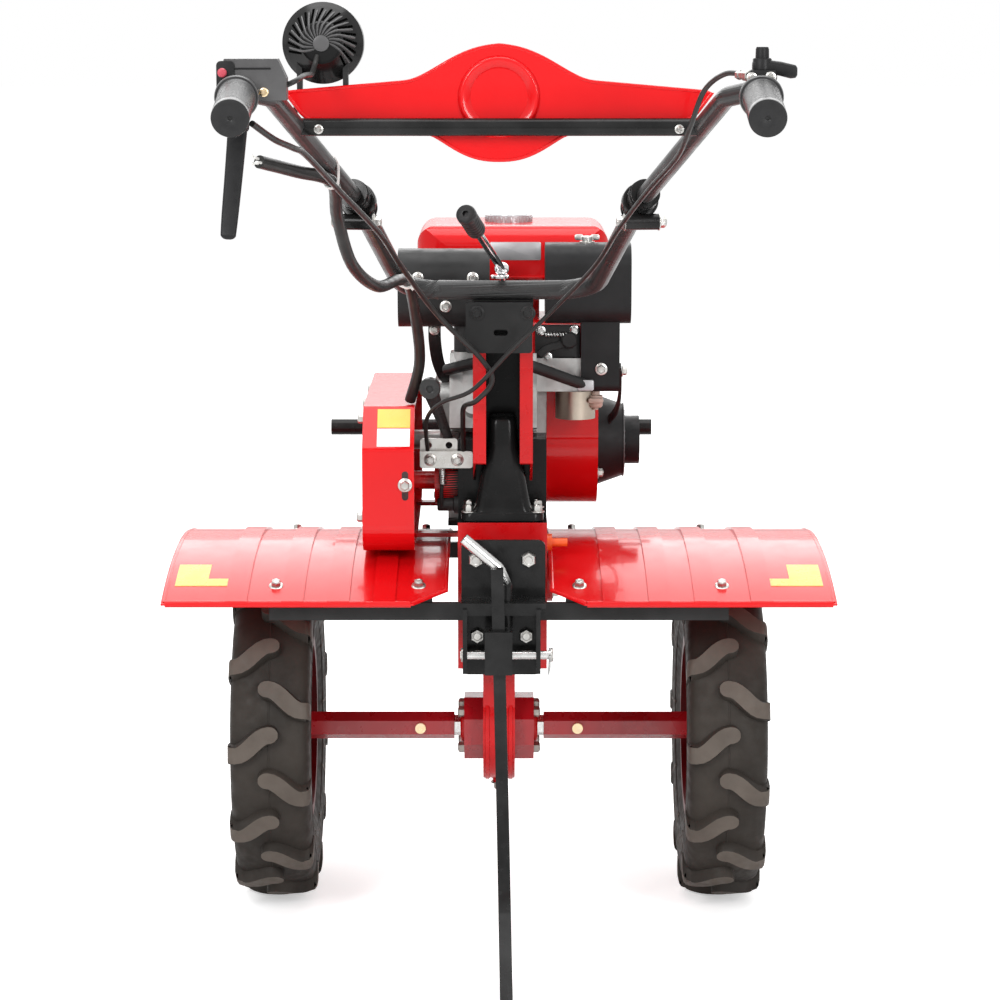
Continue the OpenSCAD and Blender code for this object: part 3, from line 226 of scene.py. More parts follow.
def make_paints(red, dark, black):
    """The painted and lacquered finishes."""
    finish("body_red", red, (shade(red, 0.92), 7), (0.20, 40, 0.16, 0.26), (650, 0.02),
           coat=0.24, coat_roughness=0.03, specular=0.22)
    # The castings' red, a little darker than the body red; on the handle post it stands in as painted shade.
    finish("cast_red", shade(red, 0.85), (shade(red, 0.66), 16), (0.30, 60, 0.24, 0.38), (420, 0.10),
           coat=0.15, coat_roughness=0.12, specular=0.3)
    finish("axle_red", dark, (shade(dark, 0.8), 20), (0.30, 50, 0.24, 0.36), (600, 0.03),
           coat=0.3, coat_roughness=0.10)
    # The rims take the axle red at 0.3 of its strength: painted shade between tyre and hub.
    finish("rim_red_painted_shade", shade(dark, 0.3), (shade(dark, 0.22), 20), (0.40, 50, 0.34, 0.48), (600, 0.03),
           specular=0.2)
    finish("gloss_black", shade(black, 0.7), (shade(black, 1.8), 18), (0.22, 70, 0.16, 0.30), (700, 0.03),
           coat=0.06, coat_roughness=0.05, specular=0.14)
    # The frame black lifted 2.6 times for the handle tubes and the range lever: painted sheen for their grey
    # reflection.
    finish("tube_black", shade(black, 2.6), (shade(black, 3.2), 12), (0.30, 30, 0.26, 0.36), specular=0.25)
    finish("case_black", shade(black, 0.6), (shade(black, 1.1), 20), (0.20, 60, 0.14, 0.28), (500, 0.06),
           specular=0.14)
    finish("satin_black", shade(black, 1.2), (shade(black, 2.0), 22), (0.40, 60, 0.32, 0.50), (500, 0.06),
           specular=0.2)
    finish("plug_orange", (0.80, 0.11, 0.015), ((0.70, 0.08, 0.01), 80), (0.35, 150, 0.28, 0.42), (900, 0.03))
    finish("label_yellow", (0.84, 0.50, 0.07), ((0.78, 0.45, 0.06), 40), (0.30, 90, 0.24, 0.36), (900, 0.01))
    finish("label_white", (0.82, 0.82, 0.80), ((0.76, 0.76, 0.74), 40), (0.30, 90, 0.24, 0.36), (900, 0.01))
    # Near-black red for the guard's adjuster slot: painted shade.
    finish("slot_dark", (0.020, 0.004, 0.004), ((0.035, 0.006, 0.006), 90), (0.60, 150, 0.5, 0.7),
           (900, 0.03))


def make_rubbers(rubber):
    """The rubbers and plastics."""
    finish("tyre_rubber", rubber, (shade(rubber, 1.7), 14), (0.60, 90, 0.50, 0.72), (900, 0.10), specular=0.2)
    # Lighter rubber for the lug tops and the flank bars: partly dust and wear, partly painted sheen and
    # highlight.
    finish("lug_dust_and_sheen", shade(rubber, 3.4), (shade(rubber, 4.6), 26, 0.3, 0.7), (0.62, 90, 0.50, 0.74),
           (700, 0.12), specular=0.25)
    finish("moulded_black", (0.010, 0.010, 0.0105), ((0.015, 0.015, 0.0155), 25), (0.42, 120, 0.38, 0.54),
           (1400, 0.06), specular=0.18)
    # Grey plastic of the switch box; on the lamp's fins and hub and the starter's ribs it is a painted
    # highlight on black plastic.
    finish("moulded_grey", (0.060, 0.059, 0.060), ((0.075, 0.074, 0.075), 40), (0.36, 120, 0.36, 0.50),
           (1400, 0.06))
    finish("tap_beige", (0.42, 0.30, 0.25), ((0.36, 0.25, 0.20), 60), (0.45, 120, 0.38, 0.54), (900, 0.06))
    finish("grip_rubber", (0.016, 0.016, 0.0165), ((0.022, 0.022, 0.0225), 60), (0.34, 150, 0.32, 0.46),
           (1100, 0.04), specular=0.22)
    # A lighter copy of the grip rubber: painted sheen on the grips' sleeves.
    finish("grip_sleeve_painted_sheen", (0.060, 0.060, 0.0605), ((0.070, 0.070, 0.0705), 60), (0.30, 150, 0.26, 0.36),
           (1100, 0.008), specular=0.75)
    finish("hose_black", (0.014, 0.0135, 0.013), ((0.024, 0.023, 0.022), 30), (0.36, 80, 0.30, 0.46),
           (1000, 0.04), specular=0.3)
    finish("tie_white", (0.78, 0.78, 0.75), ((0.70, 0.70, 0.68), 60), (0.38, 120, 0.30, 0.46))
    finish("button_red", (0.50, 0.06, 0.09), ((0.42, 0.05, 0.07), 80), (0.36, 150, 0.30, 0.44))
    lens = Surface("lamp_lens", (0.92, 0.95, 0.97), 0.05)
    lens.set("Transmission Weight", 0.9).set("IOR", 1.49).grain(160, 0.4, 1.0, (1, 0.1, 0.1))


def make_metals():
    """The bare and plated metals."""
    finish("zinc_plate", (0.54, 0.53, 0.51), ((0.48, 0.47, 0.44), 90), (0.30, 200, 0.26, 0.36),
           (900, 0.03), 1.0)
    finish("yellow_zinc", (0.82, 0.64, 0.38), ((0.76, 0.60, 0.42), 90), (0.32, 200, 0.24, 0.42),
           (900, 0.03), 1.0)
    finish("bright_steel", (0.66, 0.66, 0.65), ((0.55, 0.55, 0.54), 60), (0.24, 150, 0.16, 0.32, (6, 1, 1)),
           (1500, 0.02), 1.0)
    finish("dull_steel", (0.36, 0.33, 0.30), ((0.28, 0.25, 0.23), 60), (0.42, 150, 0.34, 0.52),
           (900, 0.05), 1.0)
    finish("polished_chrome", (0.80, 0.80, 0.80), ((0.74, 0.74, 0.75), 30), (0.08, 100, 0.05, 0.12),
           None, 1.0)
    finish("cast_alloy", (0.50, 0.50, 0.49), ((0.38, 0.38, 0.37), 40), (0.42, 120, 0.34, 0.52),
           (600, 0.15), 0.9)
    finish("plate_grey", (0.40, 0.40, 0.41), ((0.36, 0.36, 0.37), 20), (0.34, 60, 0.30, 0.40), None, 0.6)
    finish("bowl_bronze", (0.46, 0.40, 0.33), ((0.38, 0.33, 0.27), 50), (0.36, 150, 0.30, 0.44),
           (900, 0.04), 1.0)


NODE_FINISHES = {
    "body_red": ("dash_panel", "fender_left", "fender_right", "belt_guard", "blower_housing", "fuel_tank"),
    # The handle post is darkened with the castings' red as painted shade.
    "cast_red": ("final_drive_case", "main_gearbox", "handle_post"),
    # The bearing covers take the darker axle red as painted shade beside the tyres.
    "axle_red": ("axle_tube_left", "axle_tube_right", "bearing_covers"),
    # The rims darkened as painted shade.
    "rim_red_painted_shade": ("rim_left", "rim_right"),
    # The handle tubes and range lever carry the lifted black as painted sheen.
    "tube_black": ("handle_base", "handle_left", "handle_right", "range_lever"),
    "gloss_black": ("crossbar", "handle_clamps", "shift_tower", "hitch_yoke", "hitch_bracket", "drag_bar",
                    "drag_bar_sleeve", "front_bumper"),
    "satin_black": ("engine_stay", "handle_bracket", "headlamp_bracket", "fender_supports", "engine_frame",
                    "muffler"),
    "tyre_rubber": ("tyre_left", "tyre_right"),
    "case_black": ("headlamp",),
    "moulded_black": ("throttle_lever", "clutch_lever", "air_cleaner", "recoil_starter"),
    "moulded_grey": ("switch_box",),
    "grip_rubber": ("grip_left", "grip_right", "gear_knob"),
    "hose_black": ("wiring_conduit", "clutch_cable", "throttle_cable", "v_belts"),
    "yellow_zinc": ("axle_pins",),
    "zinc_plate": ("cable_bracket",),
    "bright_steel": ("drive_shaft", "hitch_pin", "engine_pulley", "gearbox_pulley"),
    "polished_chrome": ("gear_lever",),
    "plate_grey": ("fuel_cap",),
    "cast_alloy": ("crankcase", "cylinder_head", "carburettor"),
    "plug_orange": ("oil_plug",),
    "lamp_lens": ("headlamp_lens",),
}

# A second finish on the faces of a node whose middle lies between two corners
PART_FINISHES = (
    ("main_gearbox", "case_black", at(-60, -130, 474), at(70, 60, 580)),
    ("handle_post", "case_black", at(-28, -132, 500), at(37, -60, 720)),
    ("carburettor", "bowl_bronze", at(40, 0, 560), at(130, 70, 611)),
    ("hitch_pin", "gloss_black", at(0, -235, 350), at(18, -212, 430)),
)


class TRACTOR_OT_finishes(bpy.types.Operator):
    """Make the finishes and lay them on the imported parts"""

    bl_idname = "tractor.finishes"
    bl_label = "Finishes"

    def execute(self, context):
        paint = context.scene.tractor_paint
        make_paints(paint.red, paint.dark_red, paint.black)
        make_rubbers(paint.rubber)
        make_metals()
        for kind, nodes in NODE_FINISHES.items():
            for node in nodes:
                mesh = frame["nodes"][node].data
                mesh.materials.clear()
                mesh.materials.append(FINISHES[kind])
        for node, kind, low, high in PART_FINISHES:
            mesh = frame["nodes"][node].data
            mesh.materials.append(FINISHES[kind])
            for polygon in mesh.polygons:
                corners = zip(INTO_FRAME @ low, polygon.center, INTO_FRAME @ high)
                if all(a < middle < b for a, middle, b in corners):
                    polygon.material_index = 1
        return {"FINISHED"}


# Mesh building

def ring_section(radius, sides=16):
    """A round section."""
    return [(radius * math.cos(turn), radius * math.sin(turn)) for turn in angles(sides)]


def box_section(width, height, radius, steps=4):
    """A rounded rectangle about its middle."""
    points = []
    for cx, cy, start in ((1, 1, 0), (-1, 1, 90), (-1, -1, 180), (1, -1, 270)):
        for k in range(steps + 1):
            angle = math.radians(start + 90 * k / steps)
            points.append((cx * (width / 2 - radius) + radius * math.cos(angle),
                           cy * (height / 2 - radius) + radius * math.sin(angle)))
    return points


def rib_profile(count, first, pitch, crest, root, steps):
    """Profile points of rings along a moulded grip; steps are the ends of a crest, its flank and its root."""
    points = []
    for k in range(count):
        start = first + k * pitch
        points.append((crest, start))
        points += [(radius, start + step) for radius, step in zip((crest, root, root), steps)]
    return points


def curve_point(a, b, c, d, t):
    """A point of a smooth curve between b and c."""
    bend = (2 * a - 5 * b + 4 * c - d) * t ** 2
    twist = (3 * b - a - 3 * c + d) * t ** 3
    return 0.5 * (2 * b + (c - a) * t + bend + twist)


def smooth_path(points, steps=6):
    """A smooth curve through points."""
    points = [Vector(point) for point in points]
    last = len(points) - 1
    path = []
    for i in range(last):
        for k in range(steps):
            path.append(curve_point(points[max(i - 1, 0)], points[i], points[i + 1],
                                    points[min(i + 2, last)], k / steps))
    path.append(points[last])
    return path


def coil_path(start, stop, right, up, radius, turns, steps=12):
    """A spring's wire, wound about the line from start to stop."""
    last = turns * steps
    path = []
    for k in range(last + 1):
        turn = 2 * math.pi * k / steps
        path.append(start.lerp(stop, k / last) + radius * (right * math.cos(turn) + up * math.sin(turn)))
    return path


class Form:
    """A mesh under construction."""

    def __init__(self):
        self.bm = bmesh.new()
        self.tint = 0

    def face(self, corners, tint=None):
        """One face, in the current tint unless another is given."""
        self.bm.faces.new(corners).material_index = self.tint if tint is None else tint

    def loft(self, rings, caps=True, closed=False, tints=None):
        """Skins rings of points in order, back to the first one if closed; tints colours some sides."""
        rows = [[self.bm.verts.new(point) for point in ring] for ring in rings]
        count = len(rows[0])
        for low, high in zip(rows, rows[1:] + (rows[:1] if closed else [])):
            for i in range(count):
                j = (i + 1) % count
                self.face((low[i], low[j], high[j], high[i]), tints.get(i) if tints else None)
        if caps and not closed:
            self.face(rows[0][::-1])
            self.face(rows[-1])
        return self

    def lathe(self, profile, centre, axis, steps=48):
        """Turns a profile of (radius, along) points about an axis; one that ends where it began is a ring."""
        turn = axis.to_track_quat("Z", "X").to_matrix()
        rings = []
        for radius, along in profile:
            rings.append([centre + turn @ Vector((a, b, along)) for a, b in ring_section(radius, steps)])
        if profile[0] == profile[-1]:
            return self.loft(rings[:-1], closed=True)
        return self.loft(rings)

    def sweep(self, path, section, across=None, sizes=None):
        """Carries a section along a path; across is the first direction of its width."""
        rings = []
        for i, point in enumerate(path):
            ahead = (path[min(i + 1, len(path) - 1)] - path[max(i - 1, 0)]).normalized()
            if across is None:
                across = ahead.orthogonal()
            across = (across - ahead * across.dot(ahead)).normalized()
            up = ahead.cross(across)
            size = sizes[i] if sizes else 1.0
            rings.append([point + size * (a * across + b * up) for a, b in section])
        return self.loft(rings)

    def tube(self, path, radius, sides=16):
        """A round rod along a path."""
        return self.sweep(path, ring_section(radius, sides))

    def slab(self, centre, right, up, size, radius):
        """A block with rounded edges, its middle at centre, its width along right and its height along up."""
        right = right.normalized()
        up = (up - right * up.dot(right)).normalized()
        out = right.cross(up)
        width, height, depth = size
        edge = min(radius * 0.6, depth * 0.3)
        lip = edge * 0.3
        rings = []
        for rise, inset in ((0.0, edge), (lip, lip), (edge, 0.0),
                            (depth - edge, 0.0), (depth - lip, lip), (depth, edge)):
            section = box_section(width - 2 * inset, height - 2 * inset, max(radius - inset, radius * 0.3))
            rings.append([centre + out * (rise - depth / 2) + a * right + b * up for a, b in section])
        return self.loft(rings)

    def block(self, low, high, radius):
        """A block with rounded edges between two corners, deep along Y."""
        size = high - low
        return self.slab((low + high) / 2, X_AXIS, Z_AXIS, (size.x, size.z, size.y), radius)

    def plate(self, outline, out, thick):
        """A flat plate from an outline of points, with a soft outer edge."""
        middle = sum(outline, Vector()) / len(outline)
        edge = thick * 0.35
        rings = [outline, [p + out * (thick - edge) for p in outline]]
        rings.append([p + out * thick + (middle - p).normalized() * edge for p in outline])
        return self.loft(rings)

    def hexagon(self, centre, axis, across, height):
        """A hexagon head with a chamfered crown."""
        radius = across / math.sqrt(3)
        return self.lathe([(radius, 0.0), (radius, height * 0.78), (radius * 0.84, height)], centre, axis, 6)

    def bolt(self, centre, axis, across, washer=True):
        """A bolt head with a washer under it and a shallow dimple in its crown."""
        base = centre
        if washer:
            thick = across * 0.14
            self.lathe([(across * 0.82, 0.0), (across * 0.82, thick * 0.7), (across * 0.76, thick)],
                       centre, axis, 24)
            base = centre + axis * thick
        height = across * 0.60
        self.hexagon(base, axis, across, height)
        self.lathe([(across * 0.40, height), (across * 0.38, height + across * 0.05),
                    (across * 0.30, height + across * 0.06), (across * 0.26, height + across * 0.02)],
                   base, axis, 18)
        return self

    def bolts(self, axis, across, *spots, washer=True):
        """Like bolts at several spots."""
        for spot in spots:
            self.bolt(Vector(spot), axis, across, washer)
        return self

    def piece(self, name, finish, slot, *hidden, body=CHASSIS):
        """Finishes the mesh as a piece that rides on a body, and hides the nodes it stands for."""
        bmesh.ops.recalc_face_normals(self.bm, faces=self.bm.faces)
        mesh = bpy.data.meshes.new(name)
        self.bm.to_mesh(mesh)
        self.bm.free()
        mesh.transform(INTO_FRAME)
        for polygon in mesh.polygons:
            polygon.use_smooth = True
        mesh.set_sharp_from_angle(angle=SMOOTH_ANGLE)
        for kind in (finish,) if isinstance(finish, str) else finish:
            mesh.materials.append(FINISHES[kind])
        piece = bpy.data.objects.new(name, mesh)
        bpy.context.scene.collection.objects.link(piece)
        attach(piece, body)
        if hidden:
            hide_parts(*hidden)
        return piece


# Tyres

TREAD_CROWN = 193.0
TREAD_FALL = 8.5
TREAD_HALF = 48.0
LUG_TIP = -12.0
LUG_DROP = 25.0
LUG_FOOT = 4.0


def tread_radius(outward):
    """Radius of the bare tread at a distance from its middle line."""
    return TREAD_CROWN - TREAD_FALL * (abs(outward) / TREAD_HALF) ** 2.4


def lug_stations(half):
    """Where a lug's middle line runs: (outward, drop, half width, top radius) from its round tip outward."""
    stations = []
    for share in (0.03, 0.1, 0.25, 0.45, 0.7, 1.0):
        width = half * math.sqrt(1 - (1 - share) ** 2)
        stations.append((LUG_TIP + share * half, 0.0, width, None))
    for k in range(1, 10):
        drop = LUG_DROP * (0.5 - 0.5 * math.cos(math.pi * min(1.0, k / 8)))
        stations.append((LUG_TIP + half + k * 5, drop, half, None))
    for outward, radius in ((46.2, 194.5), (47.6, 188), (47.9, 178), (47.6, 166)):
        stations.append((outward, LUG_DROP, half * 1.04, radius))
    return stations


def add_lug(form, flank, start, tyre, centre):
    """One lug of a tyre: a ring of six points carried from the round tip down onto the flank; its top face
    takes a lighter rubber that is partly dust and wear and partly painted sheen.
    """
    height = tyre.lug_height / MM
    stations = lug_stations(tyre.lug_width / MM / 2)
    rings = []
    for i, (outward, drop, half, radius) in enumerate(stations):
        before = stations[max(i - 1, 0)]
        after = stations[min(i + 1, len(stations) - 1)]
        run = Vector((after[0] - before[0], after[1] - before[1])).normalized()
        if radius is not None or outward > 37:
            run = Vector((1, 0))
        across = Vector((-run.y, run.x))
        top = radius if radius is not None else tread_radius(outward) + height
        base = top - height - LUG_FOOT
        ring = []
        for spread, reach in ((-1.22, base), (-1.0, top - 1.2), (-0.9, top),
                              (0.9, top), (1.0, top - 1.2), (1.22, base)):
            out = outward + across.x * half * spread
            out -= 10 if radius is not None and reach == base else 0
            angle = start - (drop + across.y * half * spread) / AXLE_Z
            ring.append(centre + at(flank * out, -reach * math.cos(angle), reach * math.sin(angle)))
        rings.append(ring)
    # The top face (side 2) takes the lighter second finish: partly dust and wear, partly painted sheen.
    form.loft(rings, tints={2: 1})


def add_carcass(form, centre):
    """The bare tyre: a closed section of tread, flanks, beads and lining turned about the axle."""
    outer = [(101.5, 36.2), (108, 37.2), (114, 38.5), (125, 42.5), (129, 43.6), (129.6, 44.6), (133, 45.4),
             (133.6, 44.8), (143, 46.2), (152, 46.6), (152.6, 47.1), (156, 47.1), (156.6, 46.6), (168, 46.4),
             (177, 45.2), (183.5, 42.5), (187.5, 38)]
    tread = [(tread_radius(u), u) for u in (32, 24, 16, 8, 1)]
    seam = [(tread_radius(0) + 0.7, 0.6)]
    half = outer + tread + seam
    lining = [(178, 34), (145, 40), (120, 36), (106, 30), (101.5, 30)]
    profile = half + [(r, -u) for r, u in reversed(half)]
    profile += [(r, -u) for r, u in reversed(lining)] + lining
    profile.append(profile[0])
    form.lathe(profile, centre, X_AXIS, 144)


def add_flank_ribs(form, centre, count=30):
    """Raised bars of two lengths round both flanks, drawn in the current tint; the tyres give them the
    lighter rubber of the lug tops as a painted highlight.
    """
    outer = 150.5
    for side in SIDES:
        for i, angle in enumerate(angles(count)):
            inner = 136 if i % 3 else 127.5
            rings = []
            for radius in (inner, (inner + outer) / 2, outer):
                rise = 44.8 + (radius - 133.6) * 0.09
                rings.append([centre + at(side * (rise + lift), -radius * math.cos(angle + turn),
                                          radius * math.sin(angle + turn))
                              for turn, lift in ((-0.016, -3), (-0.013, 0.7), (0.013, 0.7), (0.016, -3))])
            form.loft(rings)


def add_wheel_fittings(form, centre, side):
    """Hub bolts on the outer face of a rim's disc, and the valve stem beside them."""
    face = centre - at(side * 8, 0, 0)
    for turn in angles(5):
        form.bolt(face + at(0, 36 * math.cos(turn), 36 * math.sin(turn)), X_AXIS * side, 13)
    stem = [(4.5, 0), (4.5, 8), (3, 10), (3, 20), (3.8, 20.5), (3.8, 26), (3, 27.5)]
    form.lathe(stem, face - at(0, 58, 0), (X_AXIS * side - Y_AXIS * 0.2).normalized(), 16)


class TRACTOR_OT_tyres(bpy.types.Operator):
    """Mould the lugged tyres in place of the plain ones and fit the wheel bolts"""

    bl_idname = "tractor.tyres"
    bl_label = "Tyres"

    def execute(self, context):
        tyre = context.scene.tractor_tyre
        fittings = Form()
        for side, node in zip(SIDES, ("tyre_left", "tyre_right")):
            low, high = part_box(node)
            centre = at((low.x + high.x) / 2 / MM, 0, AXLE_Z)
            form = Form()
            add_carcass(form, centre)
            # The flank bars take the second, lighter finish as a painted highlight.
            form.tint = 1
            add_flank_ribs(form, centre)
            form.tint = 0
            for turn in angles(tyre.lugs):
                add_lug(form, -1, turn + math.radians(10), tyre, centre)
                add_lug(form, 1, turn + math.radians(25), tyre, centre)
            form.piece("lugged_" + node, ("tyre_rubber", "lug_dust_and_sheen"), "tyre_rubber", node, body=WHEELS)
            add_wheel_fittings(fittings, centre, side)
        fittings.piece("wheel_fittings", "zinc_plate", "zinc", body=WHEELS)
        return {"FINISHED"}


# Axle and hitch

class TRACTOR_OT_axle(bpy.types.Operator):
    """Fit the bolts, rims and collars of the final drive"""

    bl_idname = "tractor.axle"
    bl_label = "Final drive fittings"

    def execute(self, context):
        form = Form()
        for side in SIDES:
            for turn in angles(4, 45):
                spot = at(side * 42, 31 * math.cos(turn), AXLE_Z + 31 * math.sin(turn))
                form.bolt(spot, X_AXIS * side, 11.6, washer=False)
        form.bolt(at(0, 0, 135), -Z_AXIS, 12)
        form.piece("final_drive_bolts", "dull_steel", "zinc")
        case = Form()
        rim = [(65.5, -2.2), (65.5, 2.2), (63.8, 3), (60, 3), (60, -3), (63.8, -3), (65.5, -2.2)]
        collar = [(22.5, 0), (22.5, 3), (20, 5), (17.2, 5), (17.2, 0), (22.5, 0)]
        for side in SIDES:
            case.lathe(rim, at(side * 14, 0, AXLE_Z), X_AXIS, 72)
            case.lathe(collar, at(side * 41.5, 0, AXLE_Z), X_AXIS * side, 36)
        case.piece("final_drive_rims", "cast_red", "body_red")
        return {"FINISHED"}


class TRACTOR_OT_hitch(bpy.types.Operator):
    """Fit the bolts and the spring clip of the hitch"""

    bl_idname = "tractor.hitch"
    bl_label = "Hitch fittings"

    def execute(self, context):
        form = Form()
        form.bolts(-Y_AXIS, 16, (-26.3, -190, 444.5), (33.7, -190, 444.5), washer=False)
        form.bolts(-Y_AXIS, 15, (-24.7, -210, 360), (31.1, -210, 360), washer=False)
        for x, side in ((-41, -1), (59, 1)):
            form.lathe([(8, 0), (8, 1.6), (7.4, 2.2)], at(x, -229, 341), X_AXIS * side, 24)
        form.piece("hitch_bolts", "zinc_plate", "zinc")
        clip = Form()
        loop = [at(57.5, -229 + 7.5 * math.sin(turn), 341 + 7.5 * math.cos(turn)) for turn in angles(18)[:15]]
        clip.tube(smooth_path(loop + [at(57.5, -231, 328), at(57, -233, 318)], 2), 1.2, 10)
        leg = ((57.5, -229, 349), (57.5, -229.5, 340), (57.2, -228, 326), (57, -229, 319))
        clip.tube(smooth_path(leg, 4), 1.2, 10)
        clip.piece("hitch_clip", "bright_steel", "bright_steel")
        return {"FINISHED"}


# Fenders and belt guard

FENDER_CREST = 436.0
FENDER_R = 752.7
FENDER_INNER = 60.5
FENDER_OUTER = 379.5
FENDER_BOLT_Y = 187
GUARD_SWELL = 2.34
GUARD_SLOT_X = -108.5


def fender_z(y):
    """Height of a fender's upper face at a distance from the axle."""
    return FENDER_CREST - FENDER_R + math.sqrt(FENDER_R ** 2 - y ** 2)


def add_fender_plate(form, x0, x1, y0, y1):
    """A thin blank plate that follows the fender's curve."""
    rings = []
    for k in range(9):
        y = y0 + (y1 - y0) * k / 8
        low, high = fender_z(y) - 0.3, fender_z(y) + 0.5
        rings.append([at(x0, y, low), at(x1, y, low), at(x1, y, high), at(x0, y, high)])
    form.loft(rings)


class TRACTOR_OT_fenders(bpy.types.Operator):
    """Roll the fender edges, and lay on the bolts and the blank plates"""

    bl_idname = "tractor.fenders"
    bl_label = "Fender trim"

    def execute(self, context):
        edges = Form()
        bolts = Form()
        labels = Form()
        bolt_z = fender_z(FENDER_BOLT_Y)
        for side in SIDES:
            for end in SIDES:
                edges.tube([at(side * x, end * 226.5, 399.2) for x in (100, 190, 280, 378.5)], 4, 14)
                cut = ((FENDER_INNER, 194), (80, 211), (100, 226.5))
                edges.tube([at(side * x, end * y, fender_z(y) - 1.5) for x, y in cut], 2.6, 12)
                normal = at(0, end * FENDER_BOLT_Y / FENDER_R, bolt_z / FENDER_R).normalized()
                for x in (92, 255):
                    bolts.bolt(at(side * x, end * FENDER_BOLT_Y, bolt_z), normal, 10)
            for x, limit in ((FENDER_INNER, 194), (FENDER_OUTER, 226)):
                line = [-limit + 2 * limit * k / 24 for k in range(25)]
                edges.tube([at(side * x, y, fender_z(y) - 1.5) for y in line], 2.6, 12)
            for inner, outer, front in ((334, 371, -125), (301, 334, -168)):
                low, high = sorted((side * inner, side * outer))
                add_fender_plate(labels, low, high, -187, front)
        edges.piece("fender_edges", "body_red", "body_red")
        bolts.piece("fender_bolts", "zinc_plate", "zinc")
        labels.piece("fender_blank_plates", "label_yellow", "body_red")
        return {"FINISHED"}


class TRACTOR_OT_guard(bpy.types.Operator):
    """Lay the blank plates, a dark patch painted as the shade in the adjuster slot, the bolts and the
    pressings on the belt guard
    """

    bl_idname = "tractor.guard"
    bl_label = "Belt guard trim"

    def execute(self, context):
        out = Vector((0, -1, 1)).normalized()
        low = at(0, -140, 560) + out * GUARD_SWELL
        high = at(0, -92, 608) + out * GUARD_SWELL
        for name, kind, start, stop in (("guard_blank_yellow", "label_yellow", 0.50, 0.90),
                                        ("guard_blank_white", "label_white", 0.10, 0.48)):
            form = Form()
            corners = ((-141, start), (-103, start), (-103, stop), (-141, stop))
            form.plate([low.lerp(high, share) + X_AXIS * x - out * 0.2 for x, share in corners], out, 0.6)
            form.piece(name, kind, "body_red")
        slot = Form()
        # A thin dark plate painted where the adjuster slot shows only shade.
        slot.slab(at(GUARD_SLOT_X, -140.1, 521), X_AXIS, Z_AXIS, (7.5, 34, 0.9), 3.6)
        slot.piece("guard_slot_painted_shade", "slot_dark", "black_paint")
        bolts = Form()
        bolts.bolt(at(GUARD_SLOT_X, -140.4, 522), -Y_AXIS, 10)
        for y, z in ((-112, 480), (-70, 590), (70, 590), (216, 590), (214, 486), (52, 458)):
            bolts.bolt(at(-158, y, z), -X_AXIS, 10)
        bolts.piece("guard_bolts", "zinc_plate", "zinc")
        press = Form()
        for rear, front in ((-84, 20), (44, 190)):
            press.slab(at(-158.4, (rear + front) / 2, 535), -Y_AXIS, Z_AXIS, (front - rear, 54, 3.4), 12)
        press.piece("guard_pressings", "body_red", "body_red")
        return {"FINISHED"}


# Cables

# Piece, the node it stands for, diameter, far end, route
CABLES = (
    ("smooth_wiring_conduit", ["wiring_conduit"], 13.0, "bare", (
        (-231.9, -649.5, 918.2), (-199.9, -600.3, 906.6), (-167.8, -545.2, 893.1), (-166.0, -479.4, 854.2),
        (-154.3, -420.0, 800.4), (-131.7, -339.9, 770.0), (-111.8, -250.1, 768.6), (-102.0, -200.0, 761.1),
        (-96.2, -150.0, 725.6), (-92.0, -100.0, 662.0), (-104.0, -70.0, 612.0))),
    ("smooth_clutch_cable", ["clutch_cable"], 6.0, "object", (
        (-223.0, -841.0, 962.0), (-206.0, -800.0, 946.0), (-192.4, -750.0, 936.1), (-183.6, -689.9, 926.0),
        (-158.2, -559.9, 883.8), (-125.9, -429.9, 834.5), (-106.5, -299.9, 788.0), (-69.8, -205.0, 726.3),
        (-20.0, -174.0, 672.0), (-8.0, -164.0, 645.0), (-26.0, -156.0, 622.0), (-40.0, -128.0, 612.0),
        (-42.0, -100.0, 590.0), (-42.0, -66.0, 552.4))),
    ("smooth_throttle_cable", ["throttle_cable"], 5.0, "object", (
        (222.0, -848.0, 1005.0), (206.0, -815.0, 1006.0), (190.0, -770.0, 990.0), (179.9, -734.9, 956.3),
        (173.9, -680.1, 929.9), (165.7, -629.8, 912.0), (149.9, -539.9, 884.4), (126.3, -420.0, 838.4),
        (104.0, -290.1, 786.6), (55.8, -205.0, 726.3), (10.0, -188.0, 680.0), (-30.0, -166.0, 636.0),
        (-66.0, -142.0, 618.0), (-84.0, -112.0, 594.0), (-84.0, -66.0, 552.2))),
    ("lamp_lead", [], 5.0, "object", (
        (-192.5, -829.0, 996.0), (-184.0, -826.0, 1000.0), (-178.0, -800.0, 1004.0), (-176.0, -760.0, 1004.0),
        (-176.0, -720.0, 1004.0), (-175.0, -696.0, 1010.0), (-173.0, -685.5, 1020.0))),
)


class TRACTOR_OT_cables(bpy.types.Operator):
    """Lay the wiring conduit, the two control cables and the lamp's lead along their routes"""

    bl_idname = "tractor.cables"
    bl_label = "Cables"

    def execute(self, context):
        for name, nodes, diameter, end, route in CABLES:
            path = smooth_path(route, 8)
            form = Form()
            form.tube(path, diameter / 2, 18)
            cord = form.piece(name, "hose_black", "grip_rubber", *nodes)
            ends = [self.add_wire_ends(path)] if end == "bare" else []
        return {"FINISHED"}

    def add_wire_ends(self, path):
        """Short wire ends that stand out of the conduit's open end."""
        out = (path[0] - path[1]).normalized()
        form = Form()
        for turn in angles(3):
            aside = Vector((0.25, -0.3, 1)).cross(out).normalized() * math.cos(turn) + Z_AXIS * math.sin(turn)
            root = path[0] + aside * 2.8
            bends = ((-4, 0), (3, 0), (7, 1.2), (10, 1.6))
            wire = [root + out * along + aside * lift for along, lift in bends]
            form.tube(smooth_path(wire, 3), 1.3, 10)
        return form.piece("conduit_wire_ends", "tie_white", "black_plastic")


# Gearbox and levers

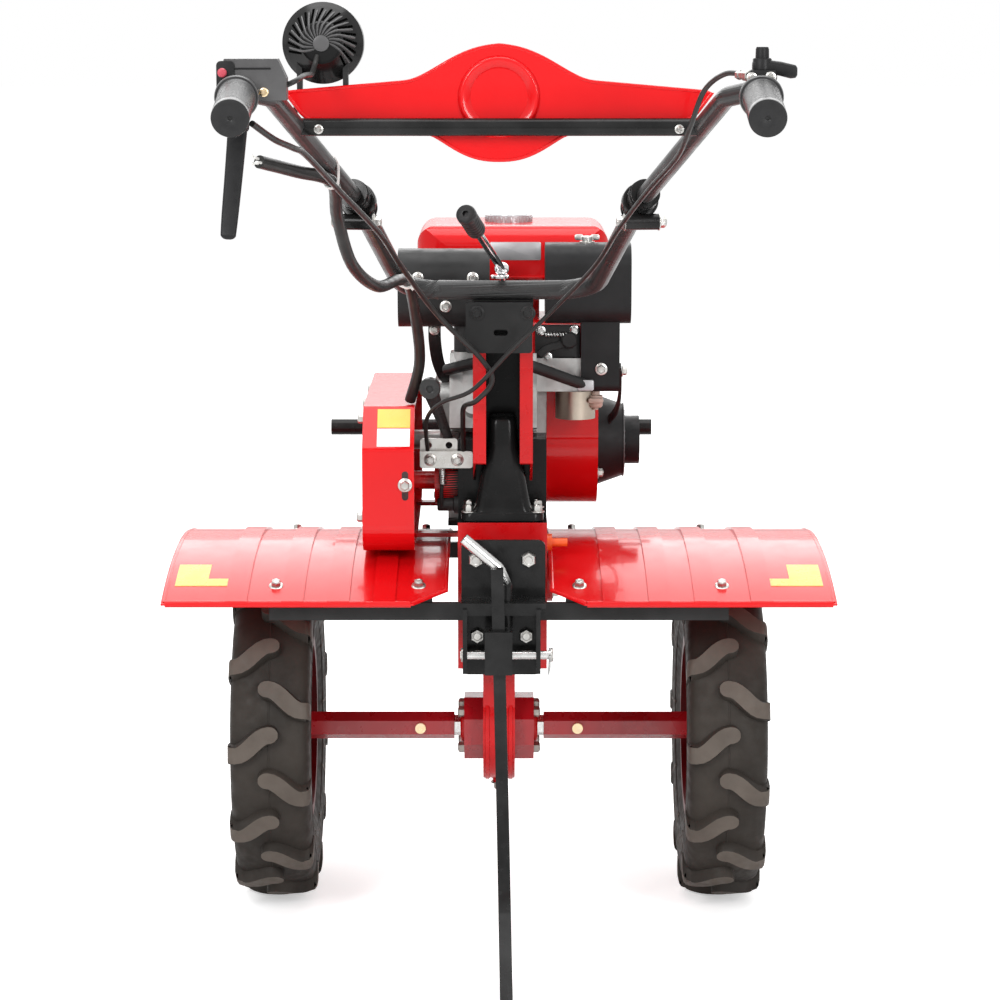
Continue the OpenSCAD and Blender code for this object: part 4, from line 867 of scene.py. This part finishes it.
# Level, left, right, rear and front of the shift tower's sections
TOWER = (
    (475.5, -43, 51, -119, -69), (476.5, -44, 52, -120, -68), (484, -44, 52, -120, -68),
    (486, -42, 50, -119, -69), (487, -31, 40, -118.5, -69), (492, -28, 37, -118, -69),
    (505, -25.5, 34.5, -118, -69), (525, -22, 31, -118, -69), (548, -17, 26, -118.5, -69),
    (562, -13, 21.5, -119, -68), (590, -12.6, 20.6, -119, -68), (595, -11.5, 19.5, -117, -70),
    (597, -8, 16, -113, -74),
)


class TRACTOR_OT_gearbox(bpy.types.Operator):
    """Smooth the shift tower and fit the bolts of the gearbox, the cable bracket and the belt tensioner"""

    bl_idname = "tractor.gearbox"
    bl_label = "Gearbox fittings"

    def execute(self, context):
        tower = Form()
        rings = []
        for z, x0, x1, y0, y1 in TOWER:
            width, depth = x1 - x0, y1 - y0
            middle = at((x0 + x1) / 2, (y0 + y1) / 2, z)
            section = box_section(width, depth, min(12, depth * 0.24, width * 0.34), 6)
            rings.append([middle + at(a, b, 0) for a, b in section])
        tower.loft(rings)
        tower.piece("smooth_shift_tower", "case_black", "black_paint", "shift_tower")
        bolts = Form()
        bolts.bolts(Z_AXIS, 10.5, *((x, y, 486) for x in (-35.5, 44.5) for y in (-111, -77)))
        bolts.bolts(-Y_AXIS, 9, (-81, -68, 541), (-49, -68, 541))
        for turn in angles(4, 45):
            bolts.bolt(at(64, -16 + 23 * math.cos(turn), 392 + 23 * math.sin(turn)), X_AXIS, 9)
        bolts.piece("gearbox_bolts", "zinc_plate", "zinc")
        self.add_tensioner()
        return {"FINISHED"}

    def add_tensioner(self):
        """The bracket's dark bolts, and the belt tensioner's roller, arm and spring."""
        dark = Form()
        dark.bolts(-Y_AXIS, 10.5, (-25, -158, 723), (33, -158, 723))
        roller = [(11.5, -1), (11.5, 5), (8.5, 6.4), (8.5, 23.5), (7, 25)]
        dark.lathe(roller, at(-48, -52, 486), -X_AXIS, 32)
        arm = smooth_path(((-68, -52, 486), (-68, -58, 494), (-68, -63, 503), (-67, -66, 512)), 4)
        dark.sweep(arm, box_section(5, 15, 1.6), X_AXIS, [1.1 - 0.03 * k for k in range(len(arm))])
        dark.piece("belt_tensioner", "satin_black", "black_paint")
        spring = Form()
        spring.tube(coil_path(at(-66.5, -66, 531.5), at(-66.5, -66, 512), X_AXIS, Y_AXIS, 4, 9), 0.8, 8)
        spring.piece("tensioner_spring", "bright_steel", "bright_steel")


class TRACTOR_OT_levers(bpy.types.Operator):
    """Shape the gear knob, the guide of the gear lever and the blade of the range lever"""

    bl_idname = "tractor.levers"
    bl_label = "Levers"

    def execute(self, context):
        eye, tip = at(3, -166, 774), at(-36, -340, 848)
        start = eye.lerp(tip, 0.70)
        length = (tip - start).length
        knob = Form()
        profile = [(5.2, 0), (8.8, 0.6), (10.2, 3)] + rib_profile(6, 6, 6.8, 10.6, 10.2, (4.4, 5, 6.2))
        profile += [(11, 48), (11, length - 3), (10, length - 0.6), (8.8, length), (3.4, length),
                    (3.4, length - 4.5)]
        knob.lathe(profile, start, (tip - eye).normalized(), 36)
        knob.piece("ribbed_gear_knob", "grip_rubber", "grip_rubber", "gear_knob")
        blade = Form()
        arm = smooth_path(((-80, -100, 629), (-76, -90, 615), (-68, -69, 590), (-58, -44, 558)), 5)
        sizes = [1.0 - 0.5 * k / (len(arm) - 1) for k in range(len(arm))]
        blade.sweep(arm, box_section(20, 9, 3.8, 5), X_AXIS, sizes)
        eye_face = [(12.2, 0), (12.2, 7), (11.2, 8.2), (6, 8.6), (4.2, 8), (3.6, 5)]
        blade.lathe(eye_face, at(-80, -104, 630), -Y_AXIS, 36)
        blade.piece("range_lever_blade", "tube_black", "black_paint")
        guide = Form()
        seat = at(1, -160, 763.5)
        plate = [seat + at(a, min(b, 1.5 * b), 0) for a, b in ring_section(10.5, 28)]
        guide.plate(plate, Z_AXIS, 3.5)
        ball = [(8 * math.sin(math.pi * k / 10) + 0.4, -7.5 * math.cos(math.pi * k / 10)) for k in range(11)]
        guide.lathe(ball, at(3.2, -160, 773.6), Z_AXIS, 24)
        guide.piece("gear_lever_guide", "polished_chrome", "bright_steel")
        return {"FINISHED"}


# Handlebar

PANEL_Y = -669.5
PANEL_Z = 976
PANEL_HALF = 206


def grip_run(side):
    """The way a handle runs forward from its grip's end."""
    return Vector((3 * side, 128, 21)).normalized()


def tie_loop(form, spots, ahead, head, steps=48):
    """A strap drawn round several round things: spots are (centre, radius), ahead is the way they run."""
    right = ahead.cross(Z_AXIS).normalized()
    up = right.cross(ahead).normalized()
    origin = sum((centre for centre, radius in spots), Vector()) / len(spots)
    ways = [right * math.cos(turn) + up * math.sin(turn) for turn in angles(steps)]
    reaches = [max((centre - origin).dot(way) + radius for centre, radius in spots) for way in ways]
    outer = []
    for k, way in enumerate(ways):
        slope = (reaches[(k + 1) % steps] - reaches[k - 1]) / (4 * math.pi / steps)
        outer.append((origin + way * reaches[k] + ahead.cross(way) * -slope, way))
    rings = []
    for point, way in outer + outer[:1]:
        rings.append([point + ahead * along + way * lift
                      for along, lift in ((-2.6, -0.2), (2.6, -0.2), (2.6, 1.3), (-2.6, 1.3))])
    form.loft(rings, caps=False)
    point, way = outer[head]
    form.slab(point + way * 2.2, ahead, way, (6.2, 4.6, 5.6), 0.8)


def panel_edge():
    """The dash panel's outline: the upper edge from left to right, then the lower edge back."""
    def hump(x, half, power):
        return max(0.0, 1 - (abs(x) / half) ** 2.4) ** power

    steps = [-204 + 408 * k / 80 for k in range(81)]
    upper = [(x, PANEL_Z + 9 + 18 * (1 - abs(x) / PANEL_HALF) + 27 * hump(x, 92, 2.2)) for x in steps]
    lower = [(x * 0.93, PANEL_Z - 5 - 25 * math.sqrt(1 - (x / PANEL_HALF) ** 4) - 25 * hump(x, 72, 1.5))
             for x in reversed(steps)]
    return upper + lower


class TRACTOR_OT_handlebar(bpy.types.Operator):
    """Mould the grips, and fit the clamp bolts, the panel's rolled edge and the cable ties"""

    bl_idname = "tractor.handlebar"
    bl_label = "Handlebar fittings"

    def execute(self, context):
        self.add_grips()
        bolts = Form()
        for side in SIDES:
            across = Vector((-0.9875 * side, -0.1577, 0))
            boss = at(149.6 * side, -408.5, 843.4)
            for end in SIDES:
                bolts.bolt(boss + across * end * 17.8, across * end, 11)
            bolts.bolt(at(172 * side, -688, 951), -Y_AXIS, 5.5)
        bolts.piece("handlebar_bolts", "zinc_plate", "zinc")
        straps = Form()
        band = [(15.6, -6.5), (18.2, -6.5), (19, -5.2), (19, 5.2), (18.2, 6.5), (15.6, 6.5), (15.6, -6.5)]
        lip = [(15, -1), (16.2, -0.8), (16.2, 0.8), (15, 1), (15, -1)]
        for side in SIDES:
            way = Vector((0.1475 * side, -0.9235, 0.353)).normalized()
            clamp = at(148 * side, -401, 864.4)
            straps.lathe(band, clamp, way, 44)
            for end in SIDES:
                straps.lathe(lip, clamp + way * end * 24, way, 40)
        straps.piece("clamp_straps", "gloss_black", "black_paint")
        self.add_panel_edge()
        self.add_ties()
        return {"FINISHED"}

    def add_grips(self):
        """Ribbed grips with a dimpled end and a collar; their sleeves are glossier than their ends and carry
        a lighter colour as painted sheen.
        """
        profile = [(2.2, 6), (2.2, -2.4), (3, -3), (16, -3), (16.7, -2.7), (17, -1.8), (17, 2)]
        profile += rib_profile(20, 5, 4, 17, 16.85, (2.6, 3, 3.8))
        profile += [(17, 86), (17.6, 88.8), (19.2, 90), (20, 91.5)]
        profile += [(20, 94.5), (19.3, 95.8), (18, 96), (10, 96)]
        for side, node in zip(SIDES, ("grip_left", "grip_right")):
            grip = Form()
            run = grip_run(side)
            grip.lathe(profile, at(233 * side, -950, 971), run)
            for face in grip.bm.faces:
                face.normal_update()
                # Side faces get the lighter sleeve colour, a painted sheen.
                if abs(face.normal.dot(run)) < 0.5:
                    face.material_index = 1
            grip.piece("ribbed_" + node, ("grip_rubber", "grip_sleeve_painted_sheen"), "grip_rubber", node)

    def add_panel_edge(self):
        """A rolled edge round the dash panel and a dished ring round its dome."""
        edge = Form()
        loop = [at(x, PANEL_Y, z) for x, z in panel_edge()]
        edge.tube(loop + loop[:1], 2.1, 12)
        dish = [(27, -0.4), (27.6, 0.3), (34.5, 4), (36, 4.3),
                (37.4, 3.6), (39.2, 0.6), (39.6, -0.4), (27, -0.4)]
        edge.lathe(dish, at(0, -671, 981), -Y_AXIS, 72)
        edge.piece("dash_panel_edge", "body_red", "body_red")

    def add_ties(self):
        """White straps that hold the conduit to the left handle."""
        ties = Form()
        for tube, conduit, way in (((-171.8, -545, 910), (-167.8, -545.2, 893.1), (-62, -378, 120)),
                                   ((-117, -200, 774.1), (-102, -200, 761.1), (-40, -258, 116))):
            tie_loop(ties, [(Vector(tube), 9.8), (Vector(conduit), 6.8)], Vector(way).normalized(), 30)
        ties.piece("cable_ties", "tie_white", "black_plastic")


# Stations along the throttle's paddle: side, rear, front, bottom and top from the middle of its seat
PADDLE = (
    (-8, -1, 5, 8, 14), (-7.5, -3, 7, 6.5, 15), (0, -4, 8, 5.5, 16), (10, -4, 7, 4, 16), (18, -6, 6, 2, 15),
    (26, -7.5, 5, 0, 13), (30.5, -7, 4, 0.5, 12), (32, -5, 2, 2.5, 10),
)


class TRACTOR_OT_controls(bpy.types.Operator):
    """Shape the clutch lever, the switch and the throttle, and fit the screws of the controls"""

    bl_idname = "tractor.controls"
    bl_label = "Controls"

    def execute(self, context):
        lever = Form()
        path = smooth_path(((-235.4, -841.4, 965.8), (-236, -853, 948), (-237.6, -872, 916),
                            (-239.6, -889, 884), (-240.6, -897, 868), (-241, -899.5, 862)))
        sizes = [1.0 - 0.30 * k / (len(path) - 1) for k in range(len(path))]
        sizes[-4:] = [0.66, 0.58, 0.46, 0.26]
        lever.sweep(path, box_section(18.5, 8.5, 3.4, 6), X_AXIS, sizes)
        lever.lathe([(7, 0), (8.5, 1.2), (8.5, 18), (7, 19.2)], at(-245, -841.4, 963.5), X_AXIS, 28)
        lever.piece("curved_clutch_lever", "moulded_black", "black_plastic", "clutch_lever")
        cap = Form()
        cap.block(at(-254.5, -843.4, 986), at(-238, -840.6, 1018), 4)
        cap.block(at(-252.5, -842.6, 1010.5), at(-205.5, -840.8, 1012), 0.6)
        cap.piece("switch_cap", "moulded_black", "black_plastic")
        button = Form()
        button.lathe([(4.2, 0), (4.2, 3), (3.4, 4), (1.8, 4.3)], at(-249, -843.2, 1007.5), -Y_AXIS, 24)
        button.piece("switch_button", "button_red", "black_plastic")
        screws = Form()
        screws.bolts(-Y_AXIS, 5, (-212, -841.2, 990), (-222, -841.2, 988))
        screws.piece("control_screws", "yellow_zinc", "zinc")
        self.add_throttle()
        return {"FINISHED"}

    def add_throttle(self):
        """The thumb throttle: a band round the handle, a body, a paddle, its pivot and the adjuster."""
        top = at(235.4, -849.4, 1002.5)
        form = Form()
        band = [(9.7, -6), (14.2, -6), (14.7, -5.2), (14.7, 5.2), (14.2, 6), (9.7, 6), (9.7, -6)]
        form.lathe(band, at(235.4, -848, 987.6), grip_run(1), 44)
        form.slab(top + at(2, 1, 3), X_AXIS, Y_AXIS, (24, 14, 10), 3)
        rings = []
        for x, y0, y1, z0, z1 in PADDLE:
            middle = top + at(x, (y0 + y1) / 2, (z0 + z1) / 2)
            section = box_section(y1 - y0, z1 - z0, (z1 - z0) * 0.36)
            rings.append([middle + at(0, p, q) for p, q in section])
        form.loft(rings)
        pivot = [(8.5, 0), (8.5, 9), (7.8, 10), (6.2, 10.2), (6, 18), (5.2, 20), (2, 20)]
        form.lathe(pivot, top + at(1, 3, 8), Z_AXIS, 32)
        form.piece("thumb_throttle", "moulded_black", "black_plastic", "throttle_lever")
        steel = Form()
        barrel = [(4, -4), (4.8, -3.4), (4.8, 6), (3.6, 6.6), (3.6, 11), (4.4, 11.4), (4.4, 15), (3, 16)]
        steel.lathe(barrel, at(222.5, -849, 1005), at(-16, 33, 1).normalized(), 6)
        steel.bolts(-Y_AXIS, 6, (226.5, -855.2, 1003.2), (243.5, -855.2, 1003.8))
        steel.piece("throttle_adjuster", "zinc_plate", "zinc")


# Head lamp

LAMP = at(-169, -655, 1032)
LAMP_BACK = -28
LAMP_INNER = 19.5
LAMP_SLOPE = 22 / 15.5


class TRACTOR_OT_lamp(bpy.types.Operator):
    """Raise the cooling fins on the back of the head lamp, grey as a painted highlight on the black lamp, and
    set the reflector behind its lens
    """

    bl_idname = "tractor.lamp"
    bl_label = "Head lamp"

    def execute(self, context):
        # The fins and hub are grey as a painted highlight on the black lamp.
        fins = Form()
        for k in range(16):
            fins.sweep(self.fin_path(math.radians(157.5 + 15 * k)), box_section(1.3, 3, 0.4, 2),
                       sizes=[0.6] + [1] * 7 + [0.7])
        hub = [(8, -0.2), (7.6, 1.4), (6, 1.8), (2, 1.8)]
        fins.lathe(hub, LAMP + at(0, -30, 0), -Y_AXIS, 40)
        fins.piece("head_lamp_fins", "moulded_grey", "black_plastic")
        dish = Form()
        bowl = [(35, 16.3)]
        for k in range(6):
            radius = 33 - 4.6 * k
            bowl += [(radius, 17.2), (radius - 2.3, 16.4)]
        bowl += [(6, 18), (3, 18.6)]
        dish.lathe(bowl, LAMP, Y_AXIS)
        dish.piece("head_lamp_reflector", "polished_chrome", "clear_lens")
        return {"FINISHED"}

    def fin_path(self, start):
        """A fin's line: over the flat back, then skewed down the cone of the shell."""
        skew = math.radians(22)
        slope = math.atan(LAMP_SLOPE)
        spots = []
        for radius, turn in ((8, -20), (12.5, -11), (17, -4)):
            spots.append((radius, start + math.radians(turn), -30.2))
        for step in (3.5, 7, 10.5, 14, 17.5, 20.5):
            out = LAMP_INNER + step * math.cos(skew) * math.cos(slope)
            aside = step * math.sin(skew)
            radius = math.hypot(out, aside)
            along = LAMP_BACK + (radius - LAMP_INNER) * LAMP_SLOPE - 0.4
            spots.append((radius, start + math.atan2(aside, out), along))
        return [LAMP + at(radius * math.cos(turn), along, -radius * math.sin(turn))
                for radius, turn, along in spots]


# Engine

TANK_CAP = at(12, 182, 812)
STARTER = at(121, 146, 535)
WING_NUT = at(105, 24, 789)


class TRACTOR_OT_engine(bpy.types.Operator):
    """Fit the engine's small parts: seam, cap ribs, tap, bolts, plates, governor, straps and starter ribs"""

    bl_idname = "tractor.engine"
    bl_label = "Engine fittings"

    def execute(self, context):
        tank = Form()
        tank.slab(at(17, 182, 742), X_AXIS, Y_AXIS, (241, 191, 3.2), 27.5)
        tank.piece("fuel_tank_seam", "body_red", "body_red")
        cap = Form()
        for turn in angles(30):
            way = Vector((math.cos(turn), math.sin(turn), 0))
            cap.slab(TANK_CAP + at(0, 0, -4.4) + way * 28.8, way.cross(Z_AXIS), Z_AXIS, (3, 6, 2.2), 0.9)
        cap.lathe([(23.5, -0.2), (23.2, 0.8), (22, 1.2), (8, 1.2)], TANK_CAP, Z_AXIS, 40)
        cap.piece("fuel_cap_ribs", "plate_grey", "cap_chrome")
        plates = Form()
        plates.slab(at(20, 89.8, 774), X_AXIS, Z_AXIS, (62, 22, 1.2), 2)
        plates.slab(at(103, -10.4, 622), X_AXIS, Z_AXIS, (20, 13, 3), 3)
        plates.piece("engine_plates", "plate_grey", "zinc")
        self.add_governor()
        self.add_straps()
        self.add_bolts()
        tap = Form()
        body = [(5.2, -0.5), (5.2, -5), (8.5, -5.6), (8.5, -18), (7, -20), (3.4, -20.4), (3.4, -23)]
        tap.lathe(body, at(116, 20, 612), Z_AXIS, 28)
        tap.slab(at(116, 10.6, 601), X_AXIS, Z_AXIS, (18, 6, 4), 2.4)
        tap.piece("fuel_tap", "tap_beige", "black_plastic")
        self.add_starter_ribs()
        return {"FINISHED"}

    def add_governor(self):
        """The governor's control plate above the carburettor: a stamped plate, its arm, spring and screws."""
        plate = Form()
        plate.slab(at(70, 13.5, 670), X_AXIS, Z_AXIS, (54, 44, 3), 5)
        plate.slab(at(70, 22, 653), X_AXIS, Y_AXIS, (48, 20, 3), 3)
        plate.lathe([(10, 0), (10, 6), (8, 7.6)], at(84, 12, 674), -Y_AXIS, 28)
        arm = smooth_path(((84, 8.5, 674), (72, 8.5, 668), (58, 8.5, 664), (48, 8.5, 656)), 4)
        plate.sweep(arm, box_section(2.6, 8.5, 1), Y_AXIS)
        plate.piece("governor_plate", "satin_black", "black_paint")
        steel = Form()
        steel.bolts(-Y_AXIS, 7, (50, 12, 685), (90, 12, 686), (58, 12, 653.5))
        steel.tube(coil_path(at(54, 8.2, 681), at(82, 8.2, 681), Y_AXIS, Z_AXIS, 3, 8), 0.6, 8)
        steel.piece("governor_fittings", "bright_steel", "bright_steel")

    def add_straps(self):
        """Flat stays: one from the air cleaner's column to the starter, one from the muffler down."""
        form = Form()
        right = smooth_path(((145.5, 38, 640), (146.5, 46, 625), (146.5, 66, 598), (143, 90, 578),
                             (135, 108, 564)), 5)
        form.sweep(right, box_section(3.6, 12, 1.2), X_AXIS)
        left = smooth_path(((-77, 18, 693), (-77, 24, 672), (-74, 44, 646), (-68, 66, 626),
                            (-62, 78, 617)), 5)
        form.sweep(left, box_section(15, 3.6, 1.4), X_AXIS)
        form.piece("engine_straps", "satin_black", "black_paint")
        bolts = Form()
        bolts.bolt(at(148.2, 41, 633), X_AXIS, 8.5)
        bolts.bolt(at(-77, 15.5, 686), -Y_AXIS, 8)
        bolts.piece("engine_strap_bolts", "zinc_plate", "zinc")

    def add_bolts(self):
        """Bolts of the muffler, the column, the starter and the crankcase, and the air cleaner's wing nut."""
        bolts = Form()
        bolts.bolts(-Y_AXIS, 8.5, (-31, -19, 751), (-63, -19, 717), (-96, -19, 751))
        bolts.bolt(at(122, 3, 640), -Y_AXIS, 9)
        for turn in angles(3, 90):
            bolts.bolt(STARTER + at(0, 66 * math.cos(turn), 66 * math.sin(turn)), X_AXIS, 9)
        bolts.lathe([(9, 0), (9, 1.6), (6, 2.2), (6, 7), (4, 8.4)], WING_NUT, Z_AXIS, 24)
        for side in SIDES:
            bolts.slab(WING_NUT + at(side * 9.5, 0, 6.6), X_AXIS, Z_AXIS, (11, 7, 2.2), 3)
        bolts.bolts(Y_AXIS, 10, *((x, 221, z) for x in (-62, -7, 48) for z in (472, 610)))
        bolts.bolts(-X_AXIS, 10, *((-72, y, z) for y, z in ((90, 474), (90, 606), (202, 606), (202, 474))))
        bolts.bolt(at(-40, 221, 492), Y_AXIS, 13)
        bolts.piece("engine_bolts", "zinc_plate", "zinc")

    def add_starter_ribs(self):
        """Bars and two raised rings on the recoil starter's face, grey as a painted highlight on the black
        starter.
        """
        starter = Form()
        for turn in angles(16):
            way = Vector((0, math.cos(turn), math.sin(turn)))
            starter.slab(STARTER + at(33.8, 0, 0) + way * 37, X_AXIS.cross(way), way, (3, 11, 1.6), 1)
        for radius, lift in ((44.5, 34), (28.5, 53)):
            ring = [(radius + a, b) for a, b in ((-1.4, -1.4), (-1, 0), (1, 0), (1.4, -1.4), (-1.4, -1.4))]
            starter.lathe(ring, STARTER + at(lift, 0, 0), X_AXIS)
        starter.piece("recoil_starter_ribs", "moulded_grey", "black_plastic")


# Stage

WHITE = (1.0, 1.0, 1.0, 1.0)
FLOOR_HALF = 40.0
FLOOR_LIFT = 0.44
WORLD_LIGHT = 0.62
LIT_MIDDLE = Vector((0, AXLE.y - 0.1, 0.55))

# Soft boxes in metres and watts: place, width and height, power
LAMPS = {
    "key_box": (Vector((-1.6, -2.8, 2.4)), (0.9, 1.5), 70.0),
    "fill_box": (Vector((1.9, -2.8, 1.8)), (0.7, 1.6), 50.0),
    "top_box": (Vector((0.0, 0.3, 3.4)), (2.6, 2.2), 60.0),
    "front_box": (Vector((0.0, 4.6, 3.3)), (6.0, 4.0), 150.0),
}


class TRACTOR_OT_stage(bpy.types.Operator):
    """Set the floor, the lights, the world and the camera"""

    bl_idname = "tractor.stage"
    bl_label = "Studio stage"

    def execute(self, context):
        stage = context.scene.tractor_stage
        context.scene.view_settings.view_transform = "Standard"
        self.add_floor(context.scene, stage)
        self.add_world(context.scene)
        self.add_lamps(context.scene)
        self.add_camera(context.scene, stage)
        return {"FINISHED"}

    def add_floor(self, scene, stage):
        """A wide pale floor, lifted to white for the camera, that keeps a soft shadow."""
        mesh = bpy.data.meshes.new("floor")
        corners = [(x * FLOOR_HALF, y * FLOOR_HALF, 0) for x, y in ((-1, -1), (1, -1), (1, 1), (-1, 1))]
        mesh.from_pydata(corners, [], [(0, 1, 2, 3)])
        floor = bpy.data.objects.new("floor", mesh)
        scene.collection.objects.link(floor)
        material = bpy.data.materials.new("pale_floor")
        material.use_nodes = True
        tree = material.node_tree
        shader = tree.nodes["Principled BSDF"]
        shader.inputs["Base Color"].default_value = (*stage.floor, 1.0)
        shader.inputs["Roughness"].default_value = 0.9
        shader.inputs["Specular IOR Level"].default_value = 0.0
        glow = tree.nodes.new("ShaderNodeEmission")
        glow.inputs["Color"].default_value = WHITE
        path = tree.nodes.new("ShaderNodeLightPath")
        lift = tree.nodes.new("ShaderNodeMapRange")
        lift.inputs["To Max"].default_value = FLOOR_LIFT
        both = tree.nodes.new("ShaderNodeAddShader")
        for source, target in (
            (path.outputs["Is Camera Ray"], lift.inputs["Value"]),
            (lift.outputs["Result"], glow.inputs["Strength"]),
            (shader.outputs["BSDF"], both.inputs[0]),
            (glow.outputs["Emission"], both.inputs[1]),
            (both.outputs["Shader"], tree.nodes["Material Output"].inputs["Surface"]),
        ):
            tree.links.new(source, target)
        mesh.materials.append(material)

    def add_world(self, scene):
        """White where the camera, paint, metal or glass sees it, a little dimmer as a light."""
        world = bpy.data.worlds.new("studio")
        world.use_nodes = True
        tree = world.node_tree
        sky = tree.nodes["Background"]
        sky.inputs["Color"].default_value = WHITE
        path = tree.nodes.new("ShaderNodeLightPath")
        seen = path.outputs["Is Camera Ray"]
        for kind in ("Is Glossy Ray", "Is Transmission Ray"):
            either = tree.nodes.new("ShaderNodeMath")
            either.operation = "MAXIMUM"
            tree.links.new(seen, either.inputs[0])
            tree.links.new(path.outputs[kind], either.inputs[1])
            seen = either.outputs["Value"]
        level = tree.nodes.new("ShaderNodeMapRange")
        level.inputs["To Min"].default_value = WORLD_LIGHT
        level.inputs["To Max"].default_value = 1.0
        tree.links.new(seen, level.inputs["Value"])
        tree.links.new(level.outputs["Result"], sky.inputs["Strength"])
        scene.world = world

    def add_lamps(self, scene):
        """Soft boxes: two behind the handlebar, one above, and a wide one in front for sheen on top faces."""
        for name, (spot, size, power) in LAMPS.items():
            lamp = bpy.data.lights.new(name, "AREA")
            lamp.shape = "RECTANGLE"
            lamp.size, lamp.size_y = size
            lamp.energy = power
            holder = bpy.data.objects.new(name, lamp)
            holder.location = spot
            holder.rotation_euler = (LIT_MIDDLE - spot).to_track_quat("-Z", "Y").to_euler()
            holder.visible_camera = False
            scene.collection.objects.link(holder)

    def add_camera(self, scene, stage):
        """The photograph's view from behind the handlebar."""
        camera = bpy.data.cameras.new("view")
        camera.sensor_width = 36.0
        camera.lens = stage.lens
        camera.shift_x = 0.001
        camera.clip_end = 200.0
        holder = bpy.data.objects.new("view", camera)
        holder.location = (0.0, AXLE.y - stage.camera_back, stage.camera_height)
        holder.rotation_euler = (math.pi / 2 - stage.camera_tilt, 0.0, 0.0)
        scene.collection.objects.link(holder)
        scene.camera = holder


class TRACTOR_PT_dressing(bpy.types.Panel):
    """Lists the dressing steps and their settings"""

    bl_idname = "TRACTOR_PT_dressing"
    bl_label = "Walking tractor"
    bl_space_type = "VIEW_3D"
    bl_region_type = "UI"
    bl_category = "Tractor"

    def draw(self, context):
        column = self.layout.column()
        for step in STEPS:
            column.operator(step.bl_idname)
        for settings in SETTINGS:
            group = getattr(context.scene, settings)
            for name in group.bl_rna.properties.keys():
                if name not in ("rna_type", "name"):
                    column.prop(group, name)


SETTINGS = {"tractor_paint": FinishSettings, "tractor_tyre": TyreSettings, "tractor_stage": StageSettings}
STEPS = (
    TRACTOR_OT_stage,
    TRACTOR_OT_finishes,
    TRACTOR_OT_cables,
    TRACTOR_OT_tyres,
    TRACTOR_OT_axle,
    TRACTOR_OT_hitch,
    TRACTOR_OT_fenders,
    TRACTOR_OT_guard,
    TRACTOR_OT_gearbox,
    TRACTOR_OT_levers,
    TRACTOR_OT_handlebar,
    TRACTOR_OT_controls,
    TRACTOR_OT_lamp,
    TRACTOR_OT_engine,
)


def register():
    for name, group in SETTINGS.items():
        bpy.utils.register_class(group)
        setattr(bpy.types.Scene, name, bpy.props.PointerProperty(type=group))
    for step in STEPS:
        bpy.utils.register_class(step)
    bpy.utils.register_class(TRACTOR_PT_dressing)


def unregister():
    bpy.utils.unregister_class(TRACTOR_PT_dressing)
    for step in reversed(STEPS):
        bpy.utils.unregister_class(step)
    for name, group in SETTINGS.items():
        delattr(bpy.types.Scene, name)
        bpy.utils.unregister_class(group)


def main():
    register()
    bpy.ops.tractor.stage()
    bpy.ops.tractor.finishes()
    bpy.ops.tractor.cables()
    bpy.ops.tractor.tyres()
    bpy.ops.tractor.axle()
    bpy.ops.tractor.hitch()
    bpy.ops.tractor.fenders()
    bpy.ops.tractor.guard()
    bpy.ops.tractor.gearbox()
    bpy.ops.tractor.levers()
    bpy.ops.tractor.handlebar()
    bpy.ops.tractor.controls()
    bpy.ops.tractor.lamp()
    bpy.ops.tractor.engine()


if __name__ == "__main__":
    main()
